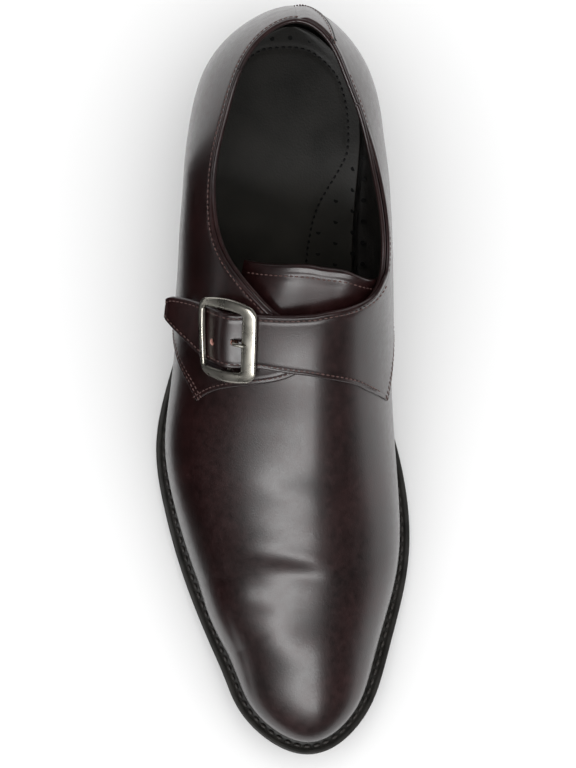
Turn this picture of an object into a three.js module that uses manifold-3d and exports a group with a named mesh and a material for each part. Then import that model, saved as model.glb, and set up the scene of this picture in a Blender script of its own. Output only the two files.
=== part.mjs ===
// A single-strap monk shoe for the right foot, men's size EU 42, as an assembly of its
// maker's pieces. Millimetres, +Z up, standing on z = 0. The toe points to -Y and the
// medial (inner) side is +X. The origin is the bottom centre of the whole shoe.
import * as THREE from "three";
import { mergeVertices } from "three/addons/utils/BufferGeometryUtils.js";
import Module from "manifold-3d";

// ---- driving dimensions ----
const HEEL_RISE = 23; // outsole's underside above the floor, at the back of the heel
const HEEL_SLOPE = 0.022; // the seat drops by this share of its length towards the breast
const BREAST_Y = 88; // front of the heel block
const BREAST_HOLLOW = 4; // how far the breast is cut in at its middle
const FLAT_BACK_Y = -16; // the tread is flat on the floor between these two
const FLAT_FRONT_Y = -58;
const TOE_SPRING = 11.5;
const TOE_TIP_Y = -150;
const OUTSOLE = 5; // thickness
const WELT = 3; // thickness
const TOP_LIFT = 6.5; // thickness
const WALL = 2.2; // upper leather and lining together
const INSOLE = 3;
const GAP = 0.3; // between two pieces that touch
const STRAP = 2; // strap's thickness, two leathers sewn back to back
const TONGUE = 1.8;

// ---- the last ----
// One row for each section, from the back of the heel to the tip of the toe.
//   y           where the section's widest points are, the same on both sides
//   lat, med    x of the widest point on the outer (lateral) and inner (medial) side
//   cx, cy      plan position of the ridge that both half sections climb to
//   ridge       height of that ridge above the widest point
//   bulge       height of the widest point above the feather line
//   fullL, M    exponent of the half section: 2 is an ellipse, more is squarer
//   tuckL, M    how far the feather line lies inside the widest point
//   weltL, M    how far the sole's edge stands out from the feather line
// Behind the throat the ridge is above the opening, and only steers the walls.
const COLUMNS = "y lat med cx cy ridge bulge fullL fullM tuckL tuckM weltL weltM".split(" ");
const SECTIONS = [
  [151, 2, 2, 2, 112, 99, 20, 0.8, 0.8, 4, 4, 2.2, 2.2],
  [143, -18.5, 20, 2, 111, 98, 20, 0.68, 0.68, 4, 4, 2.2, 2.2],
  [127, -32.5, 32, 2, 106, 95, 21, 0.5, 0.47, 4.2, 4.2, 2.2, 2.2],
  [107, -38.6, 37.6, 3, 99, 89, 21.5, 0.47, 0.52, 4.8, 5.2, 2.2, 2.2],
  [83, -41.4, 39.4, 4, 81, 74, 23, 0.64, 1.15, 6.2, 8, 2.2, 2.2],
  [55, -42, 40.8, 5, 55, 60, 23, 1.12, 5, 7, 11, 2.2, 2.2],
  [25, -44, 42.2, 4.5, 25, 52, 21, 1.95, 3, 5.5, 10.5, 2.6, 2.4],
  [0, -46.3, 43.2, 4, 0, 49.5, 18, 2, 2.4, 3.6, 7, 5, 3.2],
  [-25, -48.6, 44.9, 4, -25, 44, 15, 2, 2.2, 2.4, 4, 6, 5.8],
  [-50, -44.5, 46.8, 4.5, -50, 38, 13, 2.05, 2.1, 1.8, 2, 6.2, 6.6],
  [-75, -37, 46, 5.5, -75, 32, 11, 2.1, 2.1, 1.5, 1.5, 6.5, 6.7],
  [-100, -27.2, 39.7, 6.8, -100, 25.8, 9.5, 2.15, 2.15, 1.3, 1.3, 6.5, 7.1],
  [-118, -19.5, 34.7, 7.8, -118, 20, 8.6, 2.15, 2.15, 1.2, 1.2, 6.3, 7],
  [-134, -11, 27.4, 8.8, -134, 13, 8.2, 2.1, 2.1, 1.2, 1.2, 6.4, 6.7],
  [-145, 9.5, 9.5, 9.5, -145, 0, 8, 2, 2, 1.2, 1.2, 6.9, 6.9],
].map((row) => Object.fromEntries(COLUMNS.map((name, i) => [name, row[i]])));
const STATIONS = SECTIONS.length - 1;
const AROUND = 2 * STATIONS;

// The opening's edge, from the back of the heel to the throat. wall is the station below,
// at and up are where the edge lies: a station, and degrees up the section (90 is the ridge).
const TOPLINE = [
  { wall: 0, atL: 0, upL: 25, atM: 0, upM: 25 },
  { wall: 1, atL: 1, upL: 25.5, atM: 1, upM: 25.5 },
  { wall: 2, atL: 2, upL: 24.5, atM: 2, upM: 24 },
  { wall: 3, atL: 3, upL: 23, atM: 3, upM: 22.5 },
  { wall: 4, atL: 4, upL: 23.5, atM: 4, upM: 24.5 },
  { wall: 4.9, atL: 4.8, upL: 31, atM: 4.95, upM: 36 },
  { wall: 5.5, atL: 5.3, upL: 46, atM: 5.5, upM: 46 },
  { wall: 5.9, atL: 5.72, upL: 66, atM: 5.86, upM: 66 },
  { wall: 6.2, atL: 6.08, upL: 90, atM: 6.08, upM: 90 },
];

// ---- splines ----
// Control values of a uniform cubic B-spline that passes through the given values.
function controlsThrough(values, closed) {
  const n = values.length;
  let c = values.slice();
  for (let round = 0; round < 60; round++) {
    c = c.map((v, i) => {
      if (!closed && (i === 0 || i === n - 1)) return values[i];
      const before = c[(i + n - 1) % n];
      const after = c[(i + 1) % n];
      return v + values[i] - (before + 4 * v + after) / 6;
    });
  }
  return c;
}

function bspline(c, t, closed) {
  const n = c.length;
  const i = Math.floor(t);
  const f = t - i;
  const pick = (k) => (closed ? c[((k % n) + n) % n] : c[Math.min(Math.max(k, 0), n - 1)]);
  const [a, b, d, e] = [pick(i - 1), pick(i), pick(i + 1), pick(i + 2)];
  const g = 1 - f;
  return (
    (a * g ** 3 + b * (3 * f ** 3 - 6 * f ** 2 + 4) + d * (3 * g ** 3 - 6 * g ** 2 + 4) + e * f ** 3) / 6
  );
}

// A column of the last's table as a smooth loop: lateral rows out to the toe, medial rows back.
function loopOf(lateral, medial = lateral, shape = (v) => v) {
  const out = SECTIONS.map((s) => shape(s[lateral]));
  const back = SECTIONS.slice(1, STATIONS).map((s) => shape(s[medial])).reverse();
  const controls = controlsThrough([...out, ...back], true);
  return (p) => bspline(controls, p, true);
}

const wideX = loopOf("lat", "med");
const wideY = loopOf("y");
const ridgeX = loopOf("cx");
const ridgeY = loopOf("cy");
const ridgeSquared = loopOf("ridge", "ridge", (v) => v * v); // smooth through zero at the toe
const bulgeOf = loopOf("bulge");
const fullLog = loopOf("fullL", "fullM", Math.log);
const fullOf = (p) => Math.exp(fullLog(p));
const tuckOf = loopOf("tuckL", "tuckM");
const weltOf = loopOf("weltL", "weltM");

// ---- the sole's curve ----
const ease = (t) => t * t * (3 - 2 * t);
const clamp01 = (t) => Math.min(Math.max(t, 0), 1);

// Underside of the outsole: level heel seat, shank down to the flat tread, then toe spring.
function soleHeight(y) {
  if (y < FLAT_FRONT_Y) return TOE_SPRING * ((FLAT_FRONT_Y - y) / (FLAT_FRONT_Y - TOE_TIP_Y)) ** 2;
  if (y < FLAT_BACK_Y) return 0;
  const seat = HEEL_RISE - HEEL_SLOPE * (SECTIONS[0].y - y);
  return seat * ease(clamp01((y - FLAT_BACK_Y) / (BREAST_Y + 12 - FLAT_BACK_Y)));
}
const featherHeight = (y) => soleHeight(y) + OUTSOLE + WELT;

// ---- points on the last: p is a station, positive lateral and negative medial ----
function outward(p) {
  const step = 0.01;
  const dx = wideX(p + step) - wideX(p - step);
  const dy = wideY(p + step) - wideY(p - step);
  return new THREE.Vector2(dy, -dx).normalize();
}

function planPoint(p, out) {
  return new THREE.Vector2(wideX(p), wideY(p)).addScaledVector(outward(p), out);
}
const featherPoint = (p, out = 0) => planPoint(p, out - tuckOf(p));
const soleEdge = (p, out = 0) => planPoint(p, out - tuckOf(p) + weltOf(p));

const TURN_UNDER = THREE.MathUtils.degToRad(80);
// up is degrees above the widest line to the ridge at 90, and below it -80 at the feather line.
function onLast(p, up) {
  const a = THREE.MathUtils.degToRad(up);
  const wide = planPoint(p, 0);
  const foot = featherPoint(p);
  const wideZ = featherHeight(wide.y) + bulgeOf(p);
  if (a < 0) {
    const inward = (tuckOf(p) * (1 - Math.cos(a))) / (1 - Math.cos(TURN_UNDER));
    const at = planPoint(p, -inward);
    const share = Math.sin(-a) / Math.sin(TURN_UNDER);
    return new THREE.Vector3(at.x, at.y, wideZ + (featherHeight(foot.y) - wideZ) * share);
  }
  const ridge = new THREE.Vector2(ridgeX(p), ridgeY(p));
  const out = Math.max(Math.cos(a), 0) ** (2 / fullOf(p));
  const at = ridge.lerp(wide, out);
  const rise = Math.sqrt(Math.max(ridgeSquared(p), 0));
  return new THREE.Vector3(at.x, at.y, wideZ + rise * Math.sin(a));
}

function normalAt(p, up) {
  const atTip = STATIONS - 0.02;
  const q = Math.abs(p) > atTip ? Math.sign(p) * atTip : p;
  const u = Math.min(Math.max(up, -79), 89);
  const along = onLast(q + 0.02, u).sub(onLast(q - 0.02, u));
  const climb = onLast(q, u + 0.5).sub(onLast(q, u - 0.5));
  return along.cross(climb).normalize();
}

function offLast(p, up, height) {
  return onLast(p, up).addScaledVector(normalAt(p, up), height);
}

// The station whose widest point is at y.
function stationAt(y) {
  let [low, high] = [0, STATIONS];
  for (let i = 0; i < 40; i++) {
    const mid = (low + high) / 2;
    if (wideY(mid) > y) low = mid;
    else high = mid;
  }
  return (low + high) / 2;
}

// A point over the instep, by y and by girth: the distance from the ridge measured along
// the section, positive on the medial side. height is above the last's surface.
const GIRTH_STEP = 2; // degrees
function overInstep(y, girth, height) {
  const p = stationAt(y) * (girth > 0 ? -1 : 1);
  let walked = 0;
  let here = onLast(p, 90);
  for (let up = 90; up > -80; up -= GIRTH_STEP) {
    const next = onLast(p, up - GIRTH_STEP);
    const length = next.distanceTo(here);
    if (walked + length >= Math.abs(girth)) {
      const at = up - (GIRTH_STEP * (Math.abs(girth) - walked)) / length;
      return offLast(p, at, height);
    }
    walked += length;
    here = next;
  }
  return offLast(p, -79, height);
}

// ---- solids from grids of points ----
const tri = (list, a, b, c) => list.push(a, b, c);
const quad = (list, a, b, c, d) => list.push(a, b, c, a, c, d);

// A closed geometry from triangles given as lists of points, turned to face outwards.
function solidGeometry(points) {
  const g = new THREE.BufferGeometry().setFromPoints(points);
  const merged = mergeVertices(g, 1e-3);
  const at = merged.getAttribute("position");
  const kept = [];
  let volume = 0;
  const [a, b, c] = [new THREE.Vector3(), new THREE.Vector3(), new THREE.Vector3()];
  for (let i = 0; i < merged.index.count; i += 3) {
    const [i0, i1, i2] = [0, 1, 2].map((k) => merged.index.getX(i + k));
    if (i0 === i1 || i1 === i2 || i0 === i2) continue;
    kept.push(i0, i1, i2);
    a.fromBufferAttribute(at, i0);
    b.fromBufferAttribute(at, i1);
    c.fromBufferAttribute(at, i2);
    volume += a.dot(b.cross(c));
  }
  if (volume < 0) kept.reverse();
  merged.setIndex(kept);
  merged.computeVertexNormals();
  return merged;
}

// A thick sheet: rows of points for its top and bottom faces, closed by four rims.
function sheetGeometry(top, bottom) {
  const out = [];
  const last = top.length - 1;
  const wide = top[0].length - 1;
  for (let i = 0; i < last; i++) {
    for (let j = 0; j < wide; j++) {
      quad(out, top[i][j], top[i + 1][j], top[i + 1][j + 1], top[i][j + 1]);
      quad(out, bottom[i][j], bottom[i][j + 1], bottom[i + 1][j + 1], bottom[i + 1][j]);
    }
    quad(out, top[i][0], bottom[i][0], bottom[i + 1][0], top[i + 1][0]);
    quad(out, top[i][wide], top[i + 1][wide], bottom[i + 1][wide], bottom[i][wide]);
  }
  for (let j = 0; j < wide; j++) {
    quad(out, top[0][j], top[0][j + 1], bottom[0][j + 1], bottom[0][j]);
    quad(out, top[last][j], bottom[last][j], bottom[last][j + 1], top[last][j + 1]);
  }
  return solidGeometry(out);
}

// A plate bounded by rings of equal count, lateral points first and medial points back,
// closed below and above by strips straight across the foot.
function plateGeometry(rings) {
  const out = [];
  const n = rings[0].length;
  for (let r = 0; r + 1 < rings.length; r++) {
    for (let i = 0; i < n; i++) {
      const j = (i + 1) % n;
      quad(out, rings[r][i], rings[r][j], rings[r + 1][j], rings[r + 1][i]);
    }
  }
  const across = (ring, flip) => {
    for (let i = 0; i < n / 2; i++) {
      const [a, b] = [ring[i], ring[i + 1]];
      const [c, d] = [ring[n - 1 - i], ring[(n - i) % n]];
      if (flip) quad(out, a, b, c, d);
      else quad(out, d, c, b, a);
    }
  };
  across(rings[0], false);
  across(rings[rings.length - 1], true);
  return solidGeometry(out);
}

const around = (count, f) => Array.from({ length: count }, (_, i) => f((i * AROUND) / count));

// ---- manifold joins and cuts ----
const wasm = await Module();
wasm.setup();

function toManifold(geometry) {
  const bare = geometry.clone();
  bare.deleteAttribute("normal");
  bare.deleteAttribute("uv");
  const merged = mergeVertices(bare, 1e-4);
  return new wasm.Manifold(
    new wasm.Mesh({
      numProp: 3,
      vertProperties: merged.attributes.position.array,
      triVerts: new Uint32Array(merged.index.array),
    }),
  );
}

function fromManifold(solid) {
  const mesh = solid.getMesh();
  const g = new THREE.BufferGeometry();
  g.setAttribute("position", new THREE.BufferAttribute(mesh.vertProperties, 3));
  g.setIndex(new THREE.BufferAttribute(mesh.triVerts, 1));
  g.computeVertexNormals();
  return g;
}

// ---- upper ----
// Both ends of the topline lie on the ridge, where the other side's rows go on.
function toplineChain(side) {
  const at = `at${side}`;
  const up = `up${side}`;
  const other = side === "L" ? "M" : "L";
  const rows = TOPLINE.length - 1;
  const lead = [3, 2, 1].map((i) => TOPLINE[i]);
  const tail = [1, 2, 3].map((i) => TOPLINE[rows - i]);
  const fit = (own, before, after) =>
    controlsThrough([...lead.map(before), ...TOPLINE.map(own), ...tail.map(after)], false);
  return {
    wall: fit((r) => r.wall, (r) => -r.wall, (r) => 2 * TOPLINE[rows].wall - r.wall),
    at: fit((r) => r[at], (r) => -r[`at${other}`], (r) => r[`at${other}`]),
    up: fit((r) => r[up], (r) => r[`up${other}`], (r) => 180 - r[`up${other}`]),
  };
}
const CHAIN_LEAD = 3;
const toplines = { 1: toplineChain("L"), "-1": toplineChain("M") };

// Where the opening's edge is, for q from 0 at the heel to TOPLINE.length - 1 at the throat.
function topline(side, q) {
  const chain = toplines[side];
  const read = (c) => bspline(c, q + CHAIN_LEAD, false);
  return { wall: read(chain.wall), at: read(chain.at), up: Math.min(read(chain.up), 90) };
}

const THROAT = TOPLINE[TOPLINE.length - 1].wall;
const QUARTER_COLUMNS = 26; // around one side of the opening
const VAMP_COLUMNS = 28; // from the throat to the toe, one side
const FOOT_ROWS = 3; // below the widest line
const WALL_ROWS = 9; // above it

// One line of the upper, from the feather line up to the opening or the ridge.
function upperLine(side, column, height) {
  const inVamp = column >= QUARTER_COLUMNS;
  const q = ((TOPLINE.length - 1) * column) / QUARTER_COLUMNS;
  const share = (column - QUARTER_COLUMNS) / VAMP_COLUMNS;
  const edge = inVamp ? { up: 90 } : topline(side, q);
  const foot = inVamp ? THROAT + (STATIONS - THROAT) * share : edge.wall;
  const top = inVamp ? foot : edge.at;
  const line = [];
  for (let r = -FOOT_ROWS; r <= WALL_ROWS; r++) {
    const s = r < 0 ? 0 : r / WALL_ROWS;
    const up = r < 0 ? (80 * r) / FOOT_ROWS : edge.up * s;
    line.push(offLast(side * (foot + (top - foot) * s), up, height));
  }
  line[0].z += GAP; // clear of the welt
  return line;
}

function upperGeometry() {
  const columns = QUARTER_COLUMNS + VAMP_COLUMNS;
  const out = [];
  for (const side of [1, -1]) {
    const outer = [];
    const inner = [];
    for (let c = 0; c <= columns; c++) {
      const own = c === 0 || c === columns ? 1 : side; // the heel and toe lines are shared
      outer.push(upperLine(own, c, 0));
      inner.push(upperLine(own, c, -WALL));
    }
    // the ridge and the heel seam are shared by both sides, so they are made to agree
    for (let c = QUARTER_COLUMNS; c <= columns; c++) {
      const top = outer[c].length - 1;
      const ridge = onLast(THROAT + ((STATIONS - THROAT) * (c - QUARTER_COLUMNS)) / VAMP_COLUMNS, 90);
      const tilt = normalAt(THROAT + ((STATIONS - THROAT) * (c - QUARTER_COLUMNS)) / VAMP_COLUMNS, 90);
      tilt.x = 0;
      outer[c][top].copy(ridge);
      inner[c][top].copy(ridge).addScaledVector(tilt.normalize(), -WALL);
    }
    const last = outer[0].length - 1;
    for (const line of [outer, inner]) {
      const x = onLast(0, 0).x;
      line[0].forEach((point) => (point.x = x));
      line[columns].forEach((point) => (point.x = onLast(STATIONS, 0).x));
    }
    const face = (a, b, c, d) => (side > 0 ? quad(out, a, b, c, d) : quad(out, d, c, b, a));
    for (let c = 0; c < columns; c++) {
      for (let r = 0; r < last; r++) {
        face(outer[c][r], outer[c + 1][r], outer[c + 1][r + 1], outer[c][r + 1]);
        face(inner[c][r + 1], inner[c + 1][r + 1], inner[c + 1][r], inner[c][r]);
      }
      face(inner[c][0], inner[c + 1][0], outer[c + 1][0], outer[c][0]);
      if (c < QUARTER_COLUMNS) {
        face(outer[c][last], outer[c + 1][last], inner[c + 1][last], inner[c][last]);
      }
    }
  }
  return solidGeometry(out);
}

// ---- sole pieces ----
const AROUND_SOLE = 104;

function soleRing(edge, out, heightAt) {
  return around(AROUND_SOLE, (p) => {
    const at = edge(p, out);
    return new THREE.Vector3(at.x, at.y, heightAt(at.y));
  });
}

function outsoleGeometry() {
  return plateGeometry([
    soleRing(soleEdge, -0.6, soleHeight),
    soleRing(soleEdge, 0, (y) => soleHeight(y) + 1),
    soleRing(soleEdge, 0, (y) => soleHeight(y) + OUTSOLE),
  ]);
}

// The welt is a strip right round, sewn between the upper's edge and the outsole.
const WELT_UNDER_UPPER = 4.5;
function weltGeometry() {
  const rings = [
    soleRing(soleEdge, -0.2, (y) => soleHeight(y) + OUTSOLE + GAP),
    soleRing(soleEdge, -0.2, (y) => featherHeight(y) - 0.6),
    soleRing(soleEdge, -0.8, featherHeight),
    soleRing(featherPoint, -WELT_UNDER_UPPER, featherHeight),
    soleRing(featherPoint, -WELT_UNDER_UPPER, (y) => soleHeight(y) + OUTSOLE + GAP),
  ];
  const out = [];
  for (let r = 0; r < rings.length; r++) {
    const next = rings[(r + 1) % rings.length];
    for (let i = 0; i < AROUND_SOLE; i++) {
      const j = (i + 1) % AROUND_SOLE;
      quad(out, rings[r][i], rings[r][j], next[j], next[i]);
    }
  }
  return solidGeometry(out);
}

// The insole fills the welt's ring below and carries the foot above.
function insoleGeometry() {
  const plug = -WELT_UNDER_UPPER - GAP;
  const bed = -WALL - GAP;
  return plateGeometry([
    soleRing(featherPoint, plug, (y) => soleHeight(y) + OUTSOLE + GAP),
    soleRing(featherPoint, plug, (y) => featherHeight(y) + GAP),
    soleRing(featherPoint, bed, (y) => featherHeight(y) + GAP),
    soleRing(featherPoint, bed, (y) => featherHeight(y) + GAP + INSOLE),
  ]);
}

// A slice of the heel between two levels; it narrows a little towards the floor.
const HEEL_COLUMNS = 22;
function heelGeometry(levels) {
  const ring = ({ inset, heightAt }) => {
    const far = stationAt(BREAST_Y);
    const points = [];
    for (let i = -HEEL_COLUMNS; i <= HEEL_COLUMNS; i++) {
      const at = soleEdge((-far * i) / HEEL_COLUMNS, -inset);
      at.y = Math.max(at.y, BREAST_Y);
      points.push(new THREE.Vector3(at.x, at.y, heightAt(at.y)));
    }
    const [first, last] = [points[0], points[points.length - 1]];
    const steps = 8;
    for (let i = 1; i < steps; i++) {
      const t = i / steps;
      const y = BREAST_Y + BREAST_HOLLOW * 4 * t * (1 - t);
      points.push(new THREE.Vector3(last.x + (first.x - last.x) * t, y, heightAt(y)));
    }
    return points;
  };
  const rings = levels.map(ring);
  const out = [];
  const n = rings[0].length;
  for (let r = 0; r + 1 < rings.length; r++) {
    for (let i = 0; i < n; i++) {
      const j = (i + 1) % n;
      quad(out, rings[r][i], rings[r][j], rings[r + 1][j], rings[r + 1][i]);
    }
  }
  const cap = (points, flip) => {
    const flat = points.map((v) => new THREE.Vector2(v.x, v.y));
    for (const [a, b, c] of THREE.ShapeUtils.triangulateShape(flat, [])) {
      if (flip) tri(out, points[a], points[b], points[c]);
      else tri(out, points[c], points[b], points[a]);
    }
  };
  const counterclockwise = THREE.ShapeUtils.area(rings[0].map((v) => new THREE.Vector2(v.x, v.y))) > 0;
  cap(rings[0], !counterclockwise);
  cap(rings[rings.length - 1], counterclockwise);
  return solidGeometry(out);
}

// ---- tongue ----
// It starts under the vamp and hangs a little into the opening.
const TONGUE_FRONT_Y = 2;
const TONGUE_DROOP = 7;
const TONGUE_LATERAL = -36;
const TONGUE_MEDIAL = 50;
function tongueGeometry() {
  const [long, wide] = [12, 12];
  const rows = (height) =>
    Array.from({ length: long + 1 }, (_, i) =>
      Array.from({ length: wide + 1 }, (_, j) => {
        const girth = TONGUE_LATERAL + ((TONGUE_MEDIAL - TONGUE_LATERAL) * j) / wide;
        const beyond = Math.max(girth - 10, 0);
        const backY =
          41.5 - 0.13 * girth + 0.0012 * girth * girth + 0.0028 * beyond * beyond;
        const y = TONGUE_FRONT_Y + ((backY - TONGUE_FRONT_Y) * i) / long;
        const aside = 1 - ease(clamp01((girth - 12) / 30)); // its medial side stays by the quarter
        const droop = TONGUE_DROOP * ease(clamp01((y - 14) / 34)) * aside;
        return overInstep(y, girth, height - WALL - GAP - droop);
      }),
    );
  return sheetGeometry(rows(0), rows(-TONGUE));
}

// ---- strap ----
// From the medial quarter over the instep, through the buckle, to the tip.
//   girth        distance from the ridge, positive medial
//   back, front  y of its two edges
//   lift         its underside above the last's surface
const STRAP_ROWS = [
  { girth: 45, back: 48, front: -4, lift: 0.3 },
  { girth: 38, back: 41.5, front: -4.6, lift: 0.3 },
  { girth: 31, back: 36.2, front: -2.4, lift: 0.3 },
  { girth: 24, back: 32.8, front: 0, lift: 0.4 },
  { girth: 17, back: 30.6, front: 1.8, lift: 0.6 },
  { girth: 9, back: 29.2, front: 3.4, lift: 0.9 },
  { girth: 1, back: 28.2, front: 4.8, lift: 1.2 },
  { girth: -7, back: 28, front: 6, lift: 1.5 },
  { girth: -13, back: 28.2, front: 7, lift: 1.6 },
  { girth: -17.5, back: 28.4, front: 7.5, lift: 1.6 },
  { girth: -21.3, back: 28.7, front: 7.8, lift: 2.2 },
  { girth: -24.8, back: 29, front: 8.2, lift: 3.9 },
  { girth: -28.2, back: 29.5, front: 8.8, lift: 4.6 },
  { girth: -31.3, back: 29.9, front: 9.6, lift: 4 },
  { girth: -34.2, back: 30.4, front: 10.2, lift: 3 },
  { girth: -37.8, back: 31.2, front: 11, lift: 2.1 },
  { girth: -42, back: 32.2, front: 12.6, lift: 1.6 },
  { girth: -47.5, back: 33.6, front: 16.4, lift: 2.2 },
  { girth: -53, back: 34.8, front: 20.6, lift: 4 },
  { girth: -58.5, back: 35.4, front: 24.8, lift: 6 },
  { girth: -61.5, back: 34.4, front: 27.8, lift: 7 },
];
const strapColumns = Object.fromEntries(
  ["girth", "back", "front", "lift"].map((name) => [
    name,
    controlsThrough(STRAP_ROWS.map((row) => row[name]), false),
  ]),
);

function strapAt(t) {
  const read = (name) => bspline(strapColumns[name], t * (STRAP_ROWS.length - 1), false);
  return { girth: read("girth"), back: read("back"), front: read("front"), lift: read("lift") };
}

const BUCKLE = {
  girth: -28, // centre
  y: 19,
  slant: 0.17, // it turns towards the heel as the strap goes down the lateral side
  halfLong: 11.8, // along the strap, outside
  skew: 0.012, // the lateral end leans towards the heel
  halfWide: 13.8, // across it, outside
  belly: 2, // the two long sides bow out by this
  windowLong: 8,
  windowShift: -1.6, // the medial side of the frame is the widest
  windowWide: 11.1,
  low: 4.8, // above the last's surface
  high: 6.8,
  barHeight: 2.2,
  barRadius: 0.8,
};
const HOLE_RADIUS = 1.5;
const PRONG_HOLE = -24.6; // girth where the prong comes up through the strap

function strapGeometry() {
  const [long, wide] = [44, 6];
  const rows = (height) =>
    Array.from({ length: long + 1 }, (_, i) => {
      const s = strapAt(i / long);
      return Array.from({ length: wide + 1 }, (_, j) => {
        const y = s.front + ((s.back - s.front) * j) / wide;
        return overInstep(y, s.girth, s.lift + height);
      });
    });
  const band = toManifold(sheetGeometry(rows(STRAP), rows(0)));
  return fromManifold(band.subtract(toManifold(strapHole(PRONG_HOLE))));
}

// A short pin square to the instep, to cut a hole where the prong goes.
function strapHole(girth) {
  const y = buckleY(girth, 0);
  const low = overInstep(y, girth, 1);
  const high = overInstep(y, girth, 9);
  const pin = new THREE.CylinderGeometry(HOLE_RADIUS, HOLE_RADIUS, high.distanceTo(low), 12);
  const turn = new THREE.Quaternion().setFromUnitVectors(
    new THREE.Vector3(0, 1, 0),
    high.clone().sub(low).normalize(),
  );
  return pin.applyQuaternion(turn).translate(...low.add(high).multiplyScalar(0.5).toArray());
}

// ---- buckle ----
const buckleY = (girth, across) => BUCKLE.y - BUCKLE.slant * (girth - BUCKLE.girth) + across;

function onBuckle(along, across, height) {
  const girth = BUCKLE.girth + along + Math.min(along, 0) * BUCKLE.skew * across;
  return overInstep(buckleY(girth, across), girth, height);
}

// A rounded rectangle with long sides that bow out by belly.
function frameLoop(halfLong, halfWide, corner, belly) {
  const [perCorner, perSide] = [5, 6];
  const points = [];
  for (let k = 0; k < 4; k++) {
    const [sx, sy] = [k === 0 || k === 3 ? 1 : -1, k < 2 ? 1 : -1];
    const centre = [sx * (halfLong - corner), sy * (halfWide - corner)];
    for (let i = 0; i <= perCorner; i++) {
      const a = (Math.PI / 2) * (k + i / perCorner);
      points.push([centre[0] + corner * Math.cos(a), centre[1] + corner * Math.sin(a)]);
    }
    const [ax, ay] = points[points.length - 1];
    const turned = k % 2 === 0 ? [-ax, ay] : [ax, -ay];
    for (let i = 1; i < perSide; i++) {
      points.push([ax + ((turned[0] - ax) * i) / perSide, ay + ((turned[1] - ay) * i) / perSide]);
    }
  }
  return points.map(([x, y]) => ({
    along: x,
    across: y + ((belly * y) / halfWide) * (1 - (x / halfLong) ** 2),
  }));
}

function buckleGeometry() {
  const outer = frameLoop(BUCKLE.halfLong, BUCKLE.halfWide, 3.2, BUCKLE.belly);
  const window = frameLoop(BUCKLE.windowLong, BUCKLE.windowWide, 1.2, 0.5).map((c) => ({
    along: c.along + BUCKLE.windowShift,
    across: c.across,
  }));
  const ring = (loop, height) => loop.map((c) => onBuckle(c.along, c.across, height));
  const rings = [
    ring(outer, BUCKLE.low),
    ring(outer, BUCKLE.high),
    ring(window, BUCKLE.high),
    ring(window, BUCKLE.low),
  ];
  const out = [];
  for (let r = 0; r < rings.length; r++) {
    const next = rings[(r + 1) % rings.length];
    for (let i = 0; i < outer.length; i++) {
      const j = (i + 1) % outer.length;
      quad(out, rings[r][i], rings[r][j], next[j], next[i]);
    }
  }
  const frame = toManifold(solidGeometry(out));
  const reach = BUCKLE.windowWide + 2;
  const bar = rodGeometry(
    [
      onBuckle(0, -reach, BUCKLE.low + 0.8),
      onBuckle(0, -reach + 1.4, BUCKLE.barHeight),
      onBuckle(0, reach - 1.4, BUCKLE.barHeight),
      onBuckle(0, reach, BUCKLE.low + 0.8),
    ],
    [BUCKLE.barRadius, BUCKLE.barRadius, BUCKLE.barRadius, BUCKLE.barRadius],
  );
  return fromManifold(frame.add(toManifold(bar)));
}

// A round rod through the given points, with a radius at each.
function rodGeometry(points, radii, sides = 10) {
  const out = [];
  const rings = points.map((point, i) => {
    const before = points[Math.max(i - 1, 0)];
    const after = points[Math.min(i + 1, points.length - 1)];
    const along = after.clone().sub(before).normalize();
    const hint = Math.abs(along.z) > 0.9 ? new THREE.Vector3(1, 0, 0) : new THREE.Vector3(0, 0, 1);
    const side = along.clone().cross(hint).normalize();
    const up = side.clone().cross(along);
    return Array.from({ length: sides }, (_, k) => {
      const a = (2 * Math.PI * k) / sides;
      return point
        .clone()
        .addScaledVector(side, radii[i] * Math.cos(a))
        .addScaledVector(up, radii[i] * Math.sin(a));
    });
  });
  for (let r = 0; r + 1 < rings.length; r++) {
    for (let k = 0; k < sides; k++) {
      const j = (k + 1) % sides;
      quad(out, rings[r][k], rings[r][j], rings[r + 1][j], rings[r + 1][k]);
    }
  }
  const last = rings.length - 1;
  for (let k = 0; k < sides; k++) {
    const j = (k + 1) % sides;
    tri(out, points[0], rings[0][j], rings[0][k]);
    tri(out, points[last], rings[last][k], rings[last][j]);
  }
  return solidGeometry(out);
}

// The prong leaves the bar, comes up through the strap's hole and rests on the frame.
function prongGeometry() {
  const rise = PRONG_HOLE - BUCKLE.girth;
  return rodGeometry(
    [
      onBuckle(1.5, 0, BUCKLE.barHeight),
      onBuckle(rise - 0.8, 0, BUCKLE.barHeight + 0.4),
      onBuckle(rise - 0.1, 0, BUCKLE.barHeight + 1.7),
      onBuckle(rise + 0.2, 0, BUCKLE.barHeight + 4),
      onBuckle(rise + 1.2, 0, BUCKLE.high + 0.9),
      onBuckle(rise + 5, 0, BUCKLE.high + 0.95),
    ],
    [0.8, 0.8, 0.8, 0.8, 0.8, 0.65],
  );
}

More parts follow.
